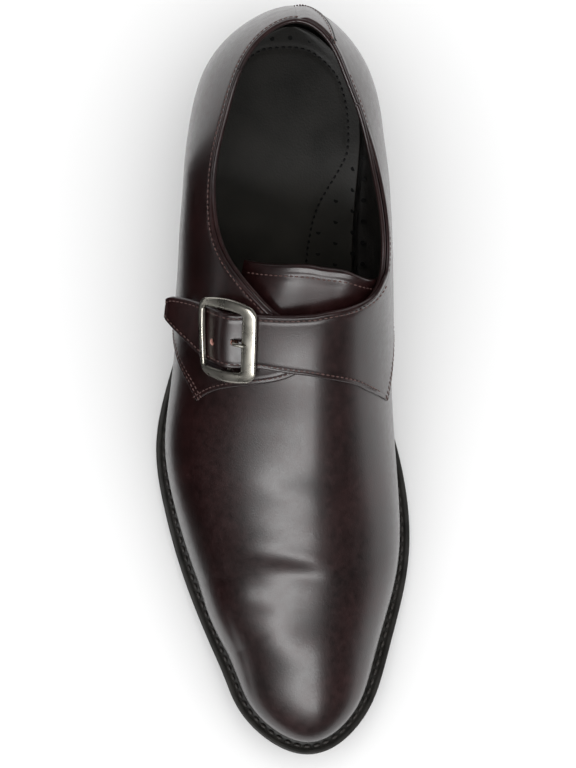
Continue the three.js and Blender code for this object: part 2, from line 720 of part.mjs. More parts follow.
// The chape is a leather tab that turns round the bar and is sewn to the lateral quarter.
const CHAPE_HALF = 7;
function chapeGeometry() {
  const inner = BUCKLE.barRadius + GAP;
  const leather = 0.8;
  const steps = 14;
  const turn = (radius, k) => {
    const a = Math.PI * (-0.5 + (1.5 * k) / steps);
    return { along: radius * Math.cos(a), height: BUCKLE.barHeight + radius * Math.sin(a) };
  };
  const tail = -20;
  const outerLine = [];
  const innerLine = [];
  for (let k = 0; k < 8; k++) {
    outerLine.push({ along: tail * (1 - k / 8), height: GAP });
    innerLine.push({ along: tail * (1 - k / 8), height: GAP + leather });
  }
  for (let k = 0; k <= steps; k++) {
    outerLine.push(turn(inner + leather, k));
    innerLine.push(turn(inner, k));
  }
  const rows = (line) =>
    line.map((c) =>
      Array.from({ length: 5 }, (_, j) =>
        onBuckle(c.along, CHAPE_HALF * (j / 2 - 1), Math.max(c.height, GAP)),
      ),
    );
  const loop = toManifold(sheetGeometry(rows(outerLine), rows(innerLine)));
  const slot = new THREE.BoxGeometry(9, 3.4, 9);
  const at = onBuckle(2.6, 0, BUCKLE.barHeight);
  slot.translate(at.x, at.y, at.z);
  return fromManifold(loop.subtract(toManifold(slot)));
}

// ---- materials and assembly ----
const leather = new THREE.MeshStandardMaterial({ color: 0x3a2226, roughness: 0.38, metalness: 0 });
const lining = new THREE.MeshStandardMaterial({ color: 0x24211e, roughness: 0.8, metalness: 0 });
const edge = new THREE.MeshStandardMaterial({ color: 0x1d1b19, roughness: 0.55, metalness: 0 });
const rubber = new THREE.MeshStandardMaterial({ color: 0x171615, roughness: 0.8, metalness: 0 });
const nickel = new THREE.MeshStandardMaterial({ color: 0xb9b5a5, roughness: 0.35, metalness: 1 });

const shoe = new THREE.Group();
function add(name, geometry, material) {
  const mesh = new THREE.Mesh(geometry, material);
  mesh.name = name;
  shoe.add(mesh);
}

add("outsole", outsoleGeometry(), rubber);
add("welt", weltGeometry(), edge);
add("heel_stack", heelGeometry([
  { inset: 0.8, heightAt: () => TOP_LIFT + GAP },
  { inset: 0.1, heightAt: (y) => soleHeight(y) - GAP },
]), edge);
add("top_lift", heelGeometry([
  { inset: 1.4, heightAt: () => 0 },
  { inset: 1, heightAt: () => 0.6 },
  { inset: 0.8, heightAt: () => TOP_LIFT },
]), rubber);
add("insole", insoleGeometry(), lining);
add("upper", upperGeometry(), leather);
add("tongue", tongueGeometry(), leather);
add("strap", strapGeometry(), leather);
add("buckle", buckleGeometry(), nickel);
add("prong", prongGeometry(), nickel);
add("chape", chapeGeometry(), leather);

export default shoe;
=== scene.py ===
import bpy
import bmesh
import math
import numpy as np
from mathutils import Matrix, Vector


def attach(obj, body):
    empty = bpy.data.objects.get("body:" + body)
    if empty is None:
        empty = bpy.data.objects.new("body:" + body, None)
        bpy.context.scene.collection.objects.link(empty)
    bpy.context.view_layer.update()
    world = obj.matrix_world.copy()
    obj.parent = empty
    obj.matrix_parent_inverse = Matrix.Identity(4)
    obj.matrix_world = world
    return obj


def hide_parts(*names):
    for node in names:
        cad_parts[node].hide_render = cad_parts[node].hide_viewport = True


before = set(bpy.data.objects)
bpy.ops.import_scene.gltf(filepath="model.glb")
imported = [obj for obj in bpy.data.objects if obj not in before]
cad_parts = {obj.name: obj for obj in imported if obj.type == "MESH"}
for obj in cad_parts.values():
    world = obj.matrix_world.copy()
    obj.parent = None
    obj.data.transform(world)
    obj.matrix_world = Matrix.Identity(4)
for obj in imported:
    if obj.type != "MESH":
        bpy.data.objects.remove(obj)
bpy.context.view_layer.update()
mm = 0.001  # every size below is in millimetres until a mesh is made
perMetre = 1 / mm
print("frame loaded")


# the last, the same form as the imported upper

# One row for each section from the heel's back to the toe's tip: y and x of its widest points
# (lateral, medial), plan place and height of its ridge, height of the widest point above the
# feather line, fullness of each half section, tuck of the feather line and width of the welt.
lastColumns = "y lat med cx cy ridge bulge fullL fullM tuckL tuckM weltL weltM".split()
lastRows = [
    [151, 2, 2, 2, 112, 99, 20, 0.8, 0.8, 4, 4, 2.2, 2.2],
    [143, -18.5, 20, 2, 111, 98, 20, 0.68, 0.68, 4, 4, 2.2, 2.2],
    [127, -32.5, 32, 2, 106, 95, 21, 0.5, 0.47, 4.2, 4.2, 2.2, 2.2],
    [107, -38.6, 37.6, 3, 99, 89, 21.5, 0.47, 0.52, 4.8, 5.2, 2.2, 2.2],
    [83, -41.4, 39.4, 4, 81, 74, 23, 0.64, 1.15, 6.2, 8, 2.2, 2.2],
    [55, -42, 40.8, 5, 55, 60, 23, 1.12, 5, 7, 11, 2.2, 2.2],
    [25, -44, 42.2, 4.5, 25, 52, 21, 1.95, 3, 5.5, 10.5, 2.6, 2.4],
    [0, -46.3, 43.2, 4, 0, 49.5, 18, 2, 2.4, 3.6, 7, 5, 3.2],
    [-25, -48.6, 44.9, 4, -25, 44, 15, 2, 2.2, 2.4, 4, 6, 5.8],
    [-50, -44.5, 46.8, 4.5, -50, 38, 13, 2.05, 2.1, 1.8, 2, 6.2, 6.6],
    [-75, -37, 46, 5.5, -75, 32, 11, 2.1, 2.1, 1.5, 1.5, 6.5, 6.7],
    [-100, -27.2, 39.7, 6.8, -100, 25.8, 9.5, 2.15, 2.15, 1.3, 1.3, 6.5, 7.1],
    [-118, -19.5, 34.7, 7.8, -118, 20, 8.6, 2.15, 2.15, 1.2, 1.2, 6.3, 7],
    [-134, -11, 27.4, 8.8, -134, 13, 8.2, 2.1, 2.1, 1.2, 1.2, 6.4, 6.7],
    [-145, 9.5, 9.5, 9.5, -145, 0, 8, 2, 2, 1.2, 1.2, 6.9, 6.9],
]
lastSections = [dict(zip(lastColumns, row)) for row in lastRows]
toeStation = len(lastSections) - 1

lastSizes = {
    "heelRise": 23,  # underside of the outsole above the floor, at the heel's back
    "heelSlope": 0.022,
    "breastY": 88,
    "breastHollow": 4,
    "flatBackY": -16,
    "flatFrontY": -58,
    "toeSpring": 11.5,
    "toeTipY": -150,
    "outsole": 5,
    "welt": 3,
    "topLift": 6.5,
    "wall": 2.2,
    "insole": 3,
    "gap": 0.3,
}

# The opening's edge from the heel's back to the throat: station and degrees up the section.
toplineRows = [
    # wall, atL, upL, atM, upM
    [0, 0, 25, 0, 25],
    [1, 1, 25.5, 1, 25.5],
    [2, 2, 24.5, 2, 24],
    [3, 3, 23, 3, 22.5],
    [4, 4, 23.5, 4, 24.5],
    [4.9, 4.8, 31, 4.95, 36],
    [5.5, 5.3, 46, 5.5, 46],
    [5.9, 5.72, 66, 5.86, 66],
    [6.2, 6.08, 90, 6.08, 90],
]


def controlsThrough(values, closed=True):
    values = np.array(values, float)
    c = values.copy()
    for _ in range(60):  # far more rounds than it takes to settle
        c = c + values - (np.roll(c, 1) + 4 * c + np.roll(c, -1)) / 6
        if not closed:
            c[0], c[-1] = values[0], values[-1]
    return c


def splineAt(c, t, closed=True):
    t = np.asarray(t, float)
    i = np.floor(t).astype(int)
    f = t - i
    g = 1 - f
    n = len(c)
    pick = (lambda k: c[k % n]) if closed else (lambda k: c[np.clip(k, 0, n - 1)])
    return (
        pick(i - 1) * g**3
        + pick(i) * (3 * f**3 - 6 * f**2 + 4)
        + pick(i + 1) * (3 * g**3 - 6 * g**2 + 4)
        + pick(i + 2) * f**3
    ) / 6


def loopOf(lateral, medial=None, shape=lambda value: value):
    out = [shape(s[lateral]) for s in lastSections]
    back = [shape(s[medial or lateral]) for s in lastSections[1:toeStation]][::-1]
    controls = controlsThrough(out + back)
    return lambda p: splineAt(controls, p)


wideX = loopOf("lat", "med")
wideY = loopOf("y")
ridgeX = loopOf("cx")
ridgeY = loopOf("cy")
ridgeSquared = loopOf("ridge", shape=lambda value: value * value)
bulgeOf = loopOf("bulge")
fullLog = loopOf("fullL", "fullM", math.log)
tuckOf = loopOf("tuckL", "tuckM")
weltOf = loopOf("weltL", "weltM")


def fullOf(p):
    return np.exp(fullLog(p))


def ease(t):
    t = np.clip(t, 0, 1)
    return t * t * (3 - 2 * t)


def soleHeight(y):
    s = lastSizes
    seat = s["heelRise"] - s["heelSlope"] * (lastSections[0]["y"] - y)
    shank = seat * ease((y - s["flatBackY"]) / (s["breastY"] + 12 - s["flatBackY"]))
    ahead = np.clip((s["flatFrontY"] - y) / (s["flatFrontY"] - s["toeTipY"]), 0, None)
    return np.where(y > s["flatBackY"], shank, s["toeSpring"] * ahead**2)


def featherHeight(y):
    return soleHeight(y) + lastSizes["outsole"] + lastSizes["welt"]


# p is a station, positive on the lateral side and negative on the medial one
def planOutward(p):
    step = 0.01
    d = np.stack([wideY(p + step) - wideY(p - step), wideX(p - step) - wideX(p + step)], -1)
    return d / np.linalg.norm(d, axis=-1, keepdims=True)


def planPoint(p, out):
    return np.stack([wideX(p), wideY(p)], -1) + planOutward(p) * np.asarray(out)[..., None]


def featherPoint(p, out=0.0):
    return planPoint(p, out - tuckOf(p))


def soleEdge(p, out=0.0):
    return planPoint(p, out - tuckOf(p) + weltOf(p))


turnUnder = math.radians(80)


# q is the station and v the degrees round the section: -80 at the medial feather line,
# 90 at the ridge and 260 at the lateral feather line
def onLast(q, v):
    q, v = np.broadcast_arrays(np.asarray(q, float), np.asarray(v, float))
    p = np.where(v <= 90, -q, q)
    a = np.radians(np.where(v <= 90, v, 180 - v))
    wide = planPoint(p, np.zeros_like(p))
    wideZ = featherHeight(wide[..., 1]) + bulgeOf(p)
    inward = tuckOf(p) * (1 - np.cos(a)) / (1 - math.cos(turnUnder))
    under = planPoint(p, -inward)
    footZ = featherHeight(featherPoint(p)[..., 1])
    underZ = wideZ + (footZ - wideZ) * np.sin(-a) / math.sin(turnUnder)
    ridge = np.stack([ridgeX(p), ridgeY(p)], -1)
    out = np.clip(np.cos(a), 0, None) ** (2 / fullOf(p))
    over = ridge + (wide - ridge) * out[..., None]
    overZ = wideZ + np.sqrt(np.clip(ridgeSquared(p), 0, None)) * np.sin(a)
    low = a < 0
    plan = np.where(low[..., None], under, over)
    return np.concatenate([plan, np.where(low, underZ, overZ)[..., None]], -1)


def lastNormal(q, v):
    q, v = np.broadcast_arrays(np.asarray(q, float), np.asarray(v, float))
    atTip = q > toeStation - 0.03
    q = np.minimum(q, toeStation - 0.03)
    v = np.clip(v, -79, 259)
    along = onLast(q + 0.02, v) - onLast(q - 0.02, v)
    climb = onLast(q, v + 0.5) - onLast(q, v - 0.5)
    normal = np.cross(climb, along)
    normal[..., 0] = np.where(atTip, 0, normal[..., 0])
    return normal / np.linalg.norm(normal, axis=-1, keepdims=True)


def offLast(q, v, height):
    return onLast(q, v) + lastNormal(q, v) * np.asarray(height)[..., None]


stationTable = np.linspace(0, toeStation, 1401)
stationYs = wideY(stationTable)
roundTable = np.arange(-80, 260.5, 1.0)


def stationAt(y):
    return np.interp(-np.asarray(y, float), -stationYs, stationTable)


# distance walked along a line at each of its points
def walkedAlong(line):
    return np.concatenate([[0], np.cumsum(np.linalg.norm(np.diff(line, axis=0), axis=1))])


# v of a point whose distance from the ridge, along the section at q, is girth (medial positive)
def roundAt(q, girth):
    walked = walkedAlong(onLast(np.full_like(roundTable, q), roundTable))
    fromRidge = walked - np.interp(90, roundTable, walked)
    return np.interp(-np.asarray(girth, float), fromRidge, roundTable)


def topline(side, t):
    at, up = (1, 2) if side == "lateral" else (3, 4)
    otherAt, otherUp = (3, 4) if side == "lateral" else (1, 2)
    rows = toplineRows
    last = len(rows) - 1
    before = [rows[i] for i in (3, 2, 1)]
    after = [rows[last - i] for i in (1, 2, 3)]

    def value(own, lead, tail):
        column = [lead(r) for r in before] + [own(r) for r in rows] + [tail(r) for r in after]
        return splineAt(controlsThrough(column, False), np.asarray(t, float) + len(before), False)

    q = value(lambda r: r[at], lambda r: -r[otherAt], lambda r: r[otherAt])
    v = value(lambda r: r[up], lambda r: r[otherUp], lambda r: 180 - r[otherUp])
    wall = value(lambda r: r[0], lambda r: -r[0], lambda r: 2 * rows[last][0] - r[0])
    v = np.minimum(v, 90)
    return q, (180 - v if side == "lateral" else v), wall


# meshes

# a smooth curve through rows of values, as a function of the row's number
def curveThrough(rows):
    controls = [controlsThrough(column, False) for column in np.array(rows, float).T]
    return lambda at: np.stack([splineAt(c, at, False) for c in controls], -1)


# count points of the curve through the given ones, with both ends kept
def smoothCurve(points, count):
    out = curveThrough(points)(np.linspace(0, len(points) - 1, count))
    out[0], out[-1] = points[0], points[-1]
    return out


def finishPiece(piece, replaced=()):
    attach(piece, "root")
    if replaced:
        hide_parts(*replaced)
    return piece


def makePiece(name, points, faces, material):
    mesh = bpy.data.meshes.new(name)
    mesh.from_pydata((np.asarray(points) * mm).tolist(), [], faces)
    bm = bmesh.new()
    bm.from_mesh(mesh)
    bmesh.ops.remove_doubles(bm, verts=bm.verts, dist=0.004 * mm)
    bmesh.ops.dissolve_degenerate(bm, edges=bm.edges, dist=0.002 * mm)
    bmesh.ops.recalc_face_normals(bm, faces=bm.faces)
    bm.to_mesh(mesh)
    bm.free()
    mesh.shade_smooth()
    mesh.materials.append(material)
    piece = bpy.data.objects.new(name, mesh)
    bpy.context.scene.collection.objects.link(piece)
    return piece


def gridFaces(rows, columns, start=0, flip=False, closed=False):
    faces = []
    for i in range(rows - 1):
        for j in range(columns if closed else columns - 1):
            k = (j + 1) % columns
            quad = [start + i * columns + j, start + i * columns + k]
            quad += [start + (i + 1) * columns + k, start + (i + 1) * columns + j]
            faces.append(quad[::-1] if flip else quad)
    return faces


# a tube of rings with a flat face at each end
def tubeFaces(rings, sides):
    faces = gridFaces(rings, sides, closed=True)
    faces.append(list(range(sides))[::-1])
    faces.append([(rings - 1) * sides + k for k in range(sides)])
    return faces


# a closed sheet from two grids of points, over and under
def sheetFaces(rows, columns):
    size = rows * columns
    faces = gridFaces(rows, columns) + gridFaces(rows, columns, size, True)
    for i in range(rows - 1):
        for j, turn in ((0, True), (columns - 1, False)):
            a, b = i * columns + j, (i + 1) * columns + j
            quad = [a, b, b + size, a + size]
            faces.append(quad[::-1] if turn else quad)
    for j in range(columns - 1):
        for i, turn in ((0, False), (rows - 1, True)):
            a, b = i * columns + j, i * columns + j + 1
            quad = [a, b, b + size, a + size]
            faces.append(quad[::-1] if turn else quad)
    return faces


# shares of a length, close together near its finished ends and even between
def edgeShares(length, step, startFine=True):
    fine = np.array([0, 0.1, 0.25, 0.45, 0.7, 1.0, 1.35, 1.7, 2.0, 2.3, 2.7, 3.2, 3.9])
    begin = fine if startFine else fine[:1]
    end = length - fine[::-1]
    count = max(int((end[0] - begin[-1]) / step), 2)
    middle = np.linspace(begin[-1], end[0], count + 1)[1:-1]
    return np.concatenate([begin, middle, end]) / length


# distance of each grid point from the nearest finished side
def edgeDistance(points, sides):
    along = np.linalg.norm(np.diff(points, axis=1), axis=2)
    across = np.linalg.norm(np.diff(points, axis=0), axis=2)
    fromLeft = np.pad(np.cumsum(along, 1), ((0, 0), (1, 0)))
    fromFirst = np.pad(np.cumsum(across, 0), ((1, 0), (0, 0)))
    distance = np.full(points.shape[:2], 1e3)
    if "first" in sides:
        distance = np.minimum(distance, fromFirst)
    if "last" in sides:
        distance = np.minimum(distance, fromFirst[-1:] - fromFirst)
    if "left" in sides:
        distance = np.minimum(distance, fromLeft)
    if "right" in sides:
        distance = np.minimum(distance, fromLeft[:, -1:] - fromLeft)
    return distance


pullWidth = 0.55


# leather laid on the last: q, v, low and thick are grids; low is its underside
# rows lists the rows of stitches beside its sides, each with its inset and depth
def leatherSheet(name, q, v, low, thick, sides, material, rounding=0.8, rows=(), extra=None):
    q, v, low, thick = np.broadcast_arrays(q, v, low, thick)
    under = offLast(q, v, low)
    distance = edgeDistance(under, sides)
    share = 1 - np.clip(distance / rounding, 0, 1)
    top = low + thick * (0.3 + 0.7 * np.sqrt(np.clip(1 - share**2, 0, 1)))
    for besides, inset, depth in rows:  # sewing pulls the leather in
        top = top - depth * np.exp(-(((edgeDistance(under, besides) - inset) / pullWidth) ** 2))
    if extra is not None:
        top = top + extra(under)
    over = offLast(q, v, top)
    points = np.concatenate([over.reshape(-1, 3), under.reshape(-1, 3)])
    return makePiece(name, points, sheetFaces(*q.shape), material)


# a round rod through the points, with a radius at each
def rodPoints(points, radii, sides=16):
    points = np.array(points, float)
    tangents = np.gradient(points, axis=0)
    tangents /= np.linalg.norm(tangents, axis=1, keepdims=True)
    rings = []
    for point, tangent, radius in zip(points, tangents, radii):
        hint = np.array([0, 1, 0]) if abs(tangent[1]) < 0.9 else np.array([0, 0, 1])
        side = np.cross(tangent, hint)
        side /= np.linalg.norm(side)
        up = np.cross(side, tangent)
        a = np.arange(sides) * 2 * np.pi / sides
        rings.append(point + radius * (np.cos(a)[:, None] * side + np.sin(a)[:, None] * up))
    return np.concatenate(rings), tubeFaces(len(points), sides)


# nodes

def linearColor(text):
    channels = [int(text[i : i + 2], 16) / 255 for i in (1, 3, 5)]
    linear = [c / 12.92 if c <= 0.04045 else ((c + 0.055) / 1.055) ** 2.4 for c in channels]
    return (*linear, 1.0)


# adds a node: a socket given as an input is linked, a node is linked by its first output, and
# anything else is the input's value; stops are a colour ramp's places and colours
def addNode(tree, kind, inputs=None, stops=(), **settings):
    node = tree.nodes.new(kind)
    for key, value in settings.items():
        setattr(node, key, value)
    for key, value in (inputs or {}).items():
        if isinstance(value, bpy.types.Node):
            value = value.outputs[0]
        if isinstance(value, bpy.types.NodeSocket):
            tree.links.new(value, node.inputs[key])
        else:
            node.inputs[key].default_value = value
    while stops and len(node.color_ramp.elements) < len(stops):
        node.color_ramp.elements.new(0.5)
    for k, (position, color) in enumerate(stops):
        node.color_ramp.elements[k].position = position
        node.color_ramp.elements[k].color = linearColor(color)
    return node


# surface is a function that adds the surface's nodes and returns the last of them
def newMaterial(name, surface):
    material = bpy.data.materials.new(name)
    material.use_nodes = True
    tree = material.node_tree
    tree.nodes.clear()
    addNode(tree, "ShaderNodeOutputMaterial", {"Surface": surface(tree)})
    return material


calfLook = {
    "deep": "#0f0505",  # colour in the valleys and where the dye took most
    "body": "#190a0a",
    "worn": "#231010",  # where the polish has thinned
    "poreWidth": 0.5,
    "cloudWidth": 22,
    "creaseWidth": 3.2,
    "roughness": (0.32, 0.42),
    "coat": 0.6,
    "coatRoughness": 0.24,
    "bumpHeight": 0.035,
}


# Polished box calf: aniline dyed, waxed and brushed. Fine pores under a soft satin shine,
# with the dye a little uneven.
def polishedCalf(tree):
    look = calfLook
    place = addNode(tree, "ShaderNodeTexCoord").outputs["Object"]
    cloud = addNode(
        tree,
        "ShaderNodeTexNoise",
        {"Vector": place, "Scale": perMetre / look["cloudWidth"], "Detail": 4.0},
    )
    creases = addNode(
        tree,
        "ShaderNodeTexNoise",
        {"Vector": place, "Scale": perMetre / look["creaseWidth"], "Detail": 6.0, "Roughness": 0.62},
    )
    pores = addNode(
        tree, "ShaderNodeTexVoronoi", {"Vector": place, "Scale": perMetre / look["poreWidth"]}
    )
    both = addNode(tree, "ShaderNodeMath", {0: cloud, 1: creases}, operation="ADD")
    half = addNode(tree, "ShaderNodeMath", {0: both, 1: 0.5}, operation="MULTIPLY")
    stops = [(0.36, look["deep"]), (0.5, look["body"]), (0.66, look["worn"])]
    color = addNode(tree, "ShaderNodeValToRGB", {"Fac": half}, stops)
    least, most = look["roughness"]
    rough = addNode(
        tree,
        "ShaderNodeMapRange",
        {"Value": creases, "From Min": 0.3, "From Max": 0.7, "To Min": least, "To Max": most},
    )
    grain = addNode(tree, "ShaderNodeMath", {0: pores, 1: creases}, operation="ADD")
    height = {"Height": grain, "Distance": look["bumpHeight"] * mm, "Strength": 0.8}
    return addNode(tree, "ShaderNodeBsdfPrincipled", {
        "Base Color": color,
        "Roughness": rough,
        "IOR": 1.5,
        "Coat Weight": look["coat"],
        "Coat Roughness": look["coatRoughness"],
        "Normal": addNode(tree, "ShaderNodeBump", height),
    })


# a plain dyed surface with fine grain, for linings, threads, edges and rubber; grain, depth and
# spread are the grain's width and height and the width of its clouds
def grainedFinish(name, dark, light, grain, depth, roughness, coat=0.0, spread=8.0):
    def surface(tree):
        place = addNode(tree, "ShaderNodeTexCoord").outputs["Object"]
        cloud = addNode(
            tree,
            "ShaderNodeTexNoise",
            {"Vector": place, "Scale": perMetre / spread, "Detail": 5.0, "Roughness": 0.6},
        )
        cells = addNode(tree, "ShaderNodeTexVoronoi", {"Vector": place, "Scale": perMetre / grain})
        stops = [(0.35, dark), (0.65, light)]
        color = addNode(tree, "ShaderNodeValToRGB", {"Fac": cloud}, stops)
        least, most = roughness - 0.05, roughness + 0.07
        rough = addNode(
            tree,
            "ShaderNodeMapRange",
            {"Value": cloud, "From Min": 0.3, "From Max": 0.7, "To Min": least, "To Max": most},
        )
        height = {"Height": cells, "Distance": depth * mm, "Strength": 1.0}
        return addNode(tree, "ShaderNodeBsdfPrincipled", {
            "Base Color": color,
            "Roughness": rough,
            "IOR": 1.5,
            "Coat Weight": coat,
            "Coat Roughness": 0.3,
            "Normal": addNode(tree, "ShaderNodeBump", height),
        })

    return newMaterial(name, surface)


nickelLook = {
    "dark": "#b7b3a8",
    "light": "#c9c5bb",
    "roughness": (0.24, 0.34),
    "cloudWidth": 6.25,
    "brushWidth": 3.846,  # along the brushing; across it, it is nine times finer
    "brushHeight": 0.006,
}


# Satin nickel plate on a cast frame: soft warm-grey reflections with faint brushing.
def satinNickel(tree):
    look = nickelLook
    place = addNode(tree, "ShaderNodeTexCoord").outputs["Object"]
    stretch = addNode(tree, "ShaderNodeMapping", {"Vector": place, "Scale": (1, 9, 9)})
    brushing = addNode(
        tree,
        "ShaderNodeTexNoise",
        {"Vector": stretch, "Scale": perMetre / look["brushWidth"], "Detail": 3.0},
    )
    cloud = addNode(
        tree,
        "ShaderNodeTexNoise",
        {"Vector": place, "Scale": perMetre / look["cloudWidth"], "Detail": 3.0},
    )
    stops = [(0.3, look["dark"]), (0.7, look["light"])]
    least, most = look["roughness"]
    rough = addNode(
        tree,
        "ShaderNodeMapRange",
        {"Value": cloud, "From Min": 0.3, "From Max": 0.7, "To Min": least, "To Max": most},
    )
    height = {"Height": brushing, "Distance": look["brushHeight"] * mm, "Strength": 0.3}
    return addNode(tree, "ShaderNodeBsdfPrincipled", {
        "Base Color": addNode(tree, "ShaderNodeValToRGB", {"Fac": cloud}, stops),
        "Metallic": 1.0,
        "Roughness": rough,
        "Normal": addNode(tree, "ShaderNodeBump", height),
    })


calf = newMaterial("polished box calf", polishedCalf)
nickel = newMaterial("satin nickel plate", satinNickel)
# waxed linen thread dyed to match: a dusty plum, lighter than the leather
thread = grainedFinish("waxed plum thread", "#3c2927", "#563e3a", 0.5, 0.02, 0.62, spread=1.5)
# inked welt: leather strip, stained near black and waxed
weltInk = grainedFinish("inked welt leather", "#151412", "#24221f", 0.7, 0.03, 0.5, coat=0.1)
weltThread = grainedFinish("black waxed cord", "#1e1b19", "#34302d", 0.4, 0.03, 0.5, spread=1.2)
# heel and sole edges: trimmed, inked and burnished, so smoother than the welt
edgeInk = grainedFinish("burnished edge ink", "#161412", "#24211e", 1.2, 0.02, 0.4, coat=0.25)
# moulded rubber: fully matt, faintly pebbled
soleRubber = grainedFinish("moulded sole rubber", "#151514", "#201f1e", 1.6, 0.08, 0.72)
# lining: pigmented goat leather, black, slightly soft shine on its pebbled grain
liningLeather = grainedFinish("black goat lining", "#131211", "#211f1d", 1.1, 0.06, 0.55, spread=14)
# sock: dark grey pigmented leather with a coarse printed grain
sockLeather = grainedFinish("grey sock leather", "#171613", "#211f1b", 0.8, 0.05, 0.5, spread=18)
sockThread = grainedFinish("black sock thread", "#050505", "#0d0d0d", 0.4, 0.03, 0.7)
# punched holes show the raw, undyed middle of the leather
rawLeather = grainedFinish("raw punched edge", "#a5756c", "#c59a8e", 0.3, 0.04, 0.85, spread=1.0)
# the sock's perforations are near-black discs laid on its face, not cut through: painted shade inside the
# holes
holeShade = grainedFinish("painted shade of a punched hole", "#040404", "#080808", 0.4, 0.02, 0.9)
print("materials made")


# the upper's leathers

# points of a curve on the last, evenly shared out by its real length
def alongCurve(curve, shares):
    curve = np.asarray(curve, float)
    walked = walkedAlong(onLast(curve[:, 0], curve[:, 1]))
    at = np.asarray(shares) * walked[-1]
    return np.stack([np.interp(at, walked, curve[:, k]) for k in (0, 1)], -1)


def curveLength(curve):
    return walkedAlong(onLast(curve[:, 0], curve[:, 1]))[-1]


# a grid of q and v stretched between four curves
def stretchedGrid(bottom, right, top, left, rowShares, columnShares):
    b, t = alongCurve(bottom, columnShares), alongCurve(top, columnShares)
    l, r = alongCurve(left, rowShares), alongCurve(right, rowShares)
    s = np.asarray(rowShares)[:, None, None]
    u = np.asarray(columnShares)[None, :, None]
    corners = (1 - s) * (1 - u) * b[0] + (1 - s) * u * b[-1] + s * (1 - u) * t[0] + s * u * t[-1]
    grid = (1 - s) * b[None] + s * t[None] + (1 - u) * l[:, None] + u * r[:, None] - corners
    return grid[..., 0], grid[..., 1]


# even steps round a section from one feather line to the other
def roundSteps(q, count):
    walked = walkedAlong(onLast(np.full_like(roundTable, q), roundTable))
    return np.interp(np.linspace(0, walked[-1], count), walked, roundTable)


vampSizes = {
    "thick": 1.2,
    "backAtRidge": 6.5,  # station
    "backAtFoot": 5.2,
    "columns": 200,
    "rows": 170,
    # walking folds over the toes' joints: x and y along each, its height and its width
    "creases": [
        ([(-30, -59), (0, -62), (28, -64)], 0.85, 14.0),
        ([(-26, -67.5), (-12, -67), (0, -68), (10, -70), (22, -72.5)], 0.4, 4.2),
        ([(-10, -73.5), (3, -74.5), (17, -76)], -0.3, 4.4),
        ([(-25, -78), (-23, -92), (-16, -106)], 1.3, 10.0),
        ([(-26, -84), (-13, -86.5), (0, -87)], 0.3, 4.6),
        ([(-22, -104), (4, -106), (28, -103)], 0.4, 9.0),
        ([(-20, -40), (0, -43), (20, -43)], 0.3, 6.5),
        ([(-38, -48), (-30, -56), (-25, -63)], 0.2, 5.0),
        ([(27, -74), (34, -70), (40, -63)], -0.2, 5.0),
    ],
}


def creaseHeight(points):
    x, y = points[..., 0], points[..., 1]
    total = np.zeros_like(x)
    for line, height, width in vampSizes["creases"]:
        line = np.array(line, float)
        nearest = np.full(x.shape, 1e3)
        share = np.zeros_like(x)
        walked = walkedAlong(line)
        for a, b, start, span in zip(line[:-1], line[1:], walked, np.diff(walked)):
            t = np.clip(((x - a[0]) * (b[0] - a[0]) + (y - a[1]) * (b[1] - a[1])) / span**2, 0, 1)
            far = np.hypot(x - a[0] - t * (b[0] - a[0]), y - a[1] - t * (b[1] - a[1]))
            closer = far < nearest
            nearest = np.where(closer, far, nearest)
            share = np.where(closer, (start + t * span) / walked[-1], share)
        fade = np.sin(np.pi * share)
        total += height * fade * np.exp(-((nearest / width) ** 2))
    return total


def makeVamp():
    s = vampSizes
    v = roundSteps(9, s["rows"])
    back = s["backAtRidge"] - (s["backAtRidge"] - s["backAtFoot"]) * (np.abs(v - 90) / 170) ** 1.3
    t = np.linspace(0, 1, s["columns"])
    q = back[:, None] + (toeStation - back[:, None]) * (1 - (1 - t) ** 1.2)[None]
    thick = s["thick"]
    vamp = leatherSheet("vamp", q, v[:, None], -thick, thick, (), calf, extra=creaseHeight)
    return finishPiece(vamp, ("upper",))


quarterSizes = {
    "thick": 1.2,
    "step": 1.4,
    "raiseFrom": 4.0,  # station where the quarters start to climb over the vamp
    "raiseOver": 1.0,
    "proud": 0.1,
    "collarRow": 1.9,  # stitches below the collar's edge
    "frontRows": (1.8, 3.6),
    "pull": 0.16,  # how deep the sewing pulls the leather in
    "height": 60,  # about, for the spacing of its rows
}


def quarterLow(q):
    s = quarterSizes
    return -s["thick"] + (s["thick"] + s["proud"]) * ease((q - s["raiseFrom"]) / s["raiseOver"])


# front edges from the feather line up to the corner beside the instep, as q and v
lateralFront = [(5.5, 260), (5.62, 240), (5.8, 215), (6.02, 190), (6.32, 172), (6.62, 161)]
lateralFront += [(6.9, 151), (7.1, 145), (7.25, 141)]
lateralTab = [(7.25, 141), (7.08, 130), (7.0, 114), (6.93, 100), (6.8, 91), (6.6, 84.5), (6.4, 83.5)]
cornerStation = lateralFront[0][0]  # where the fronts leave the feather line
medialFront = [(5.5, -80), (5.62, -60), (5.85, -25), (6.15, 0), (6.5, 11), (6.9, 20), (7.25, 28)]


def toplineCurve(side, start, end, count=120):
    q, v, _ = topline(side, np.linspace(start, end, count))
    return np.stack([q, v], -1)


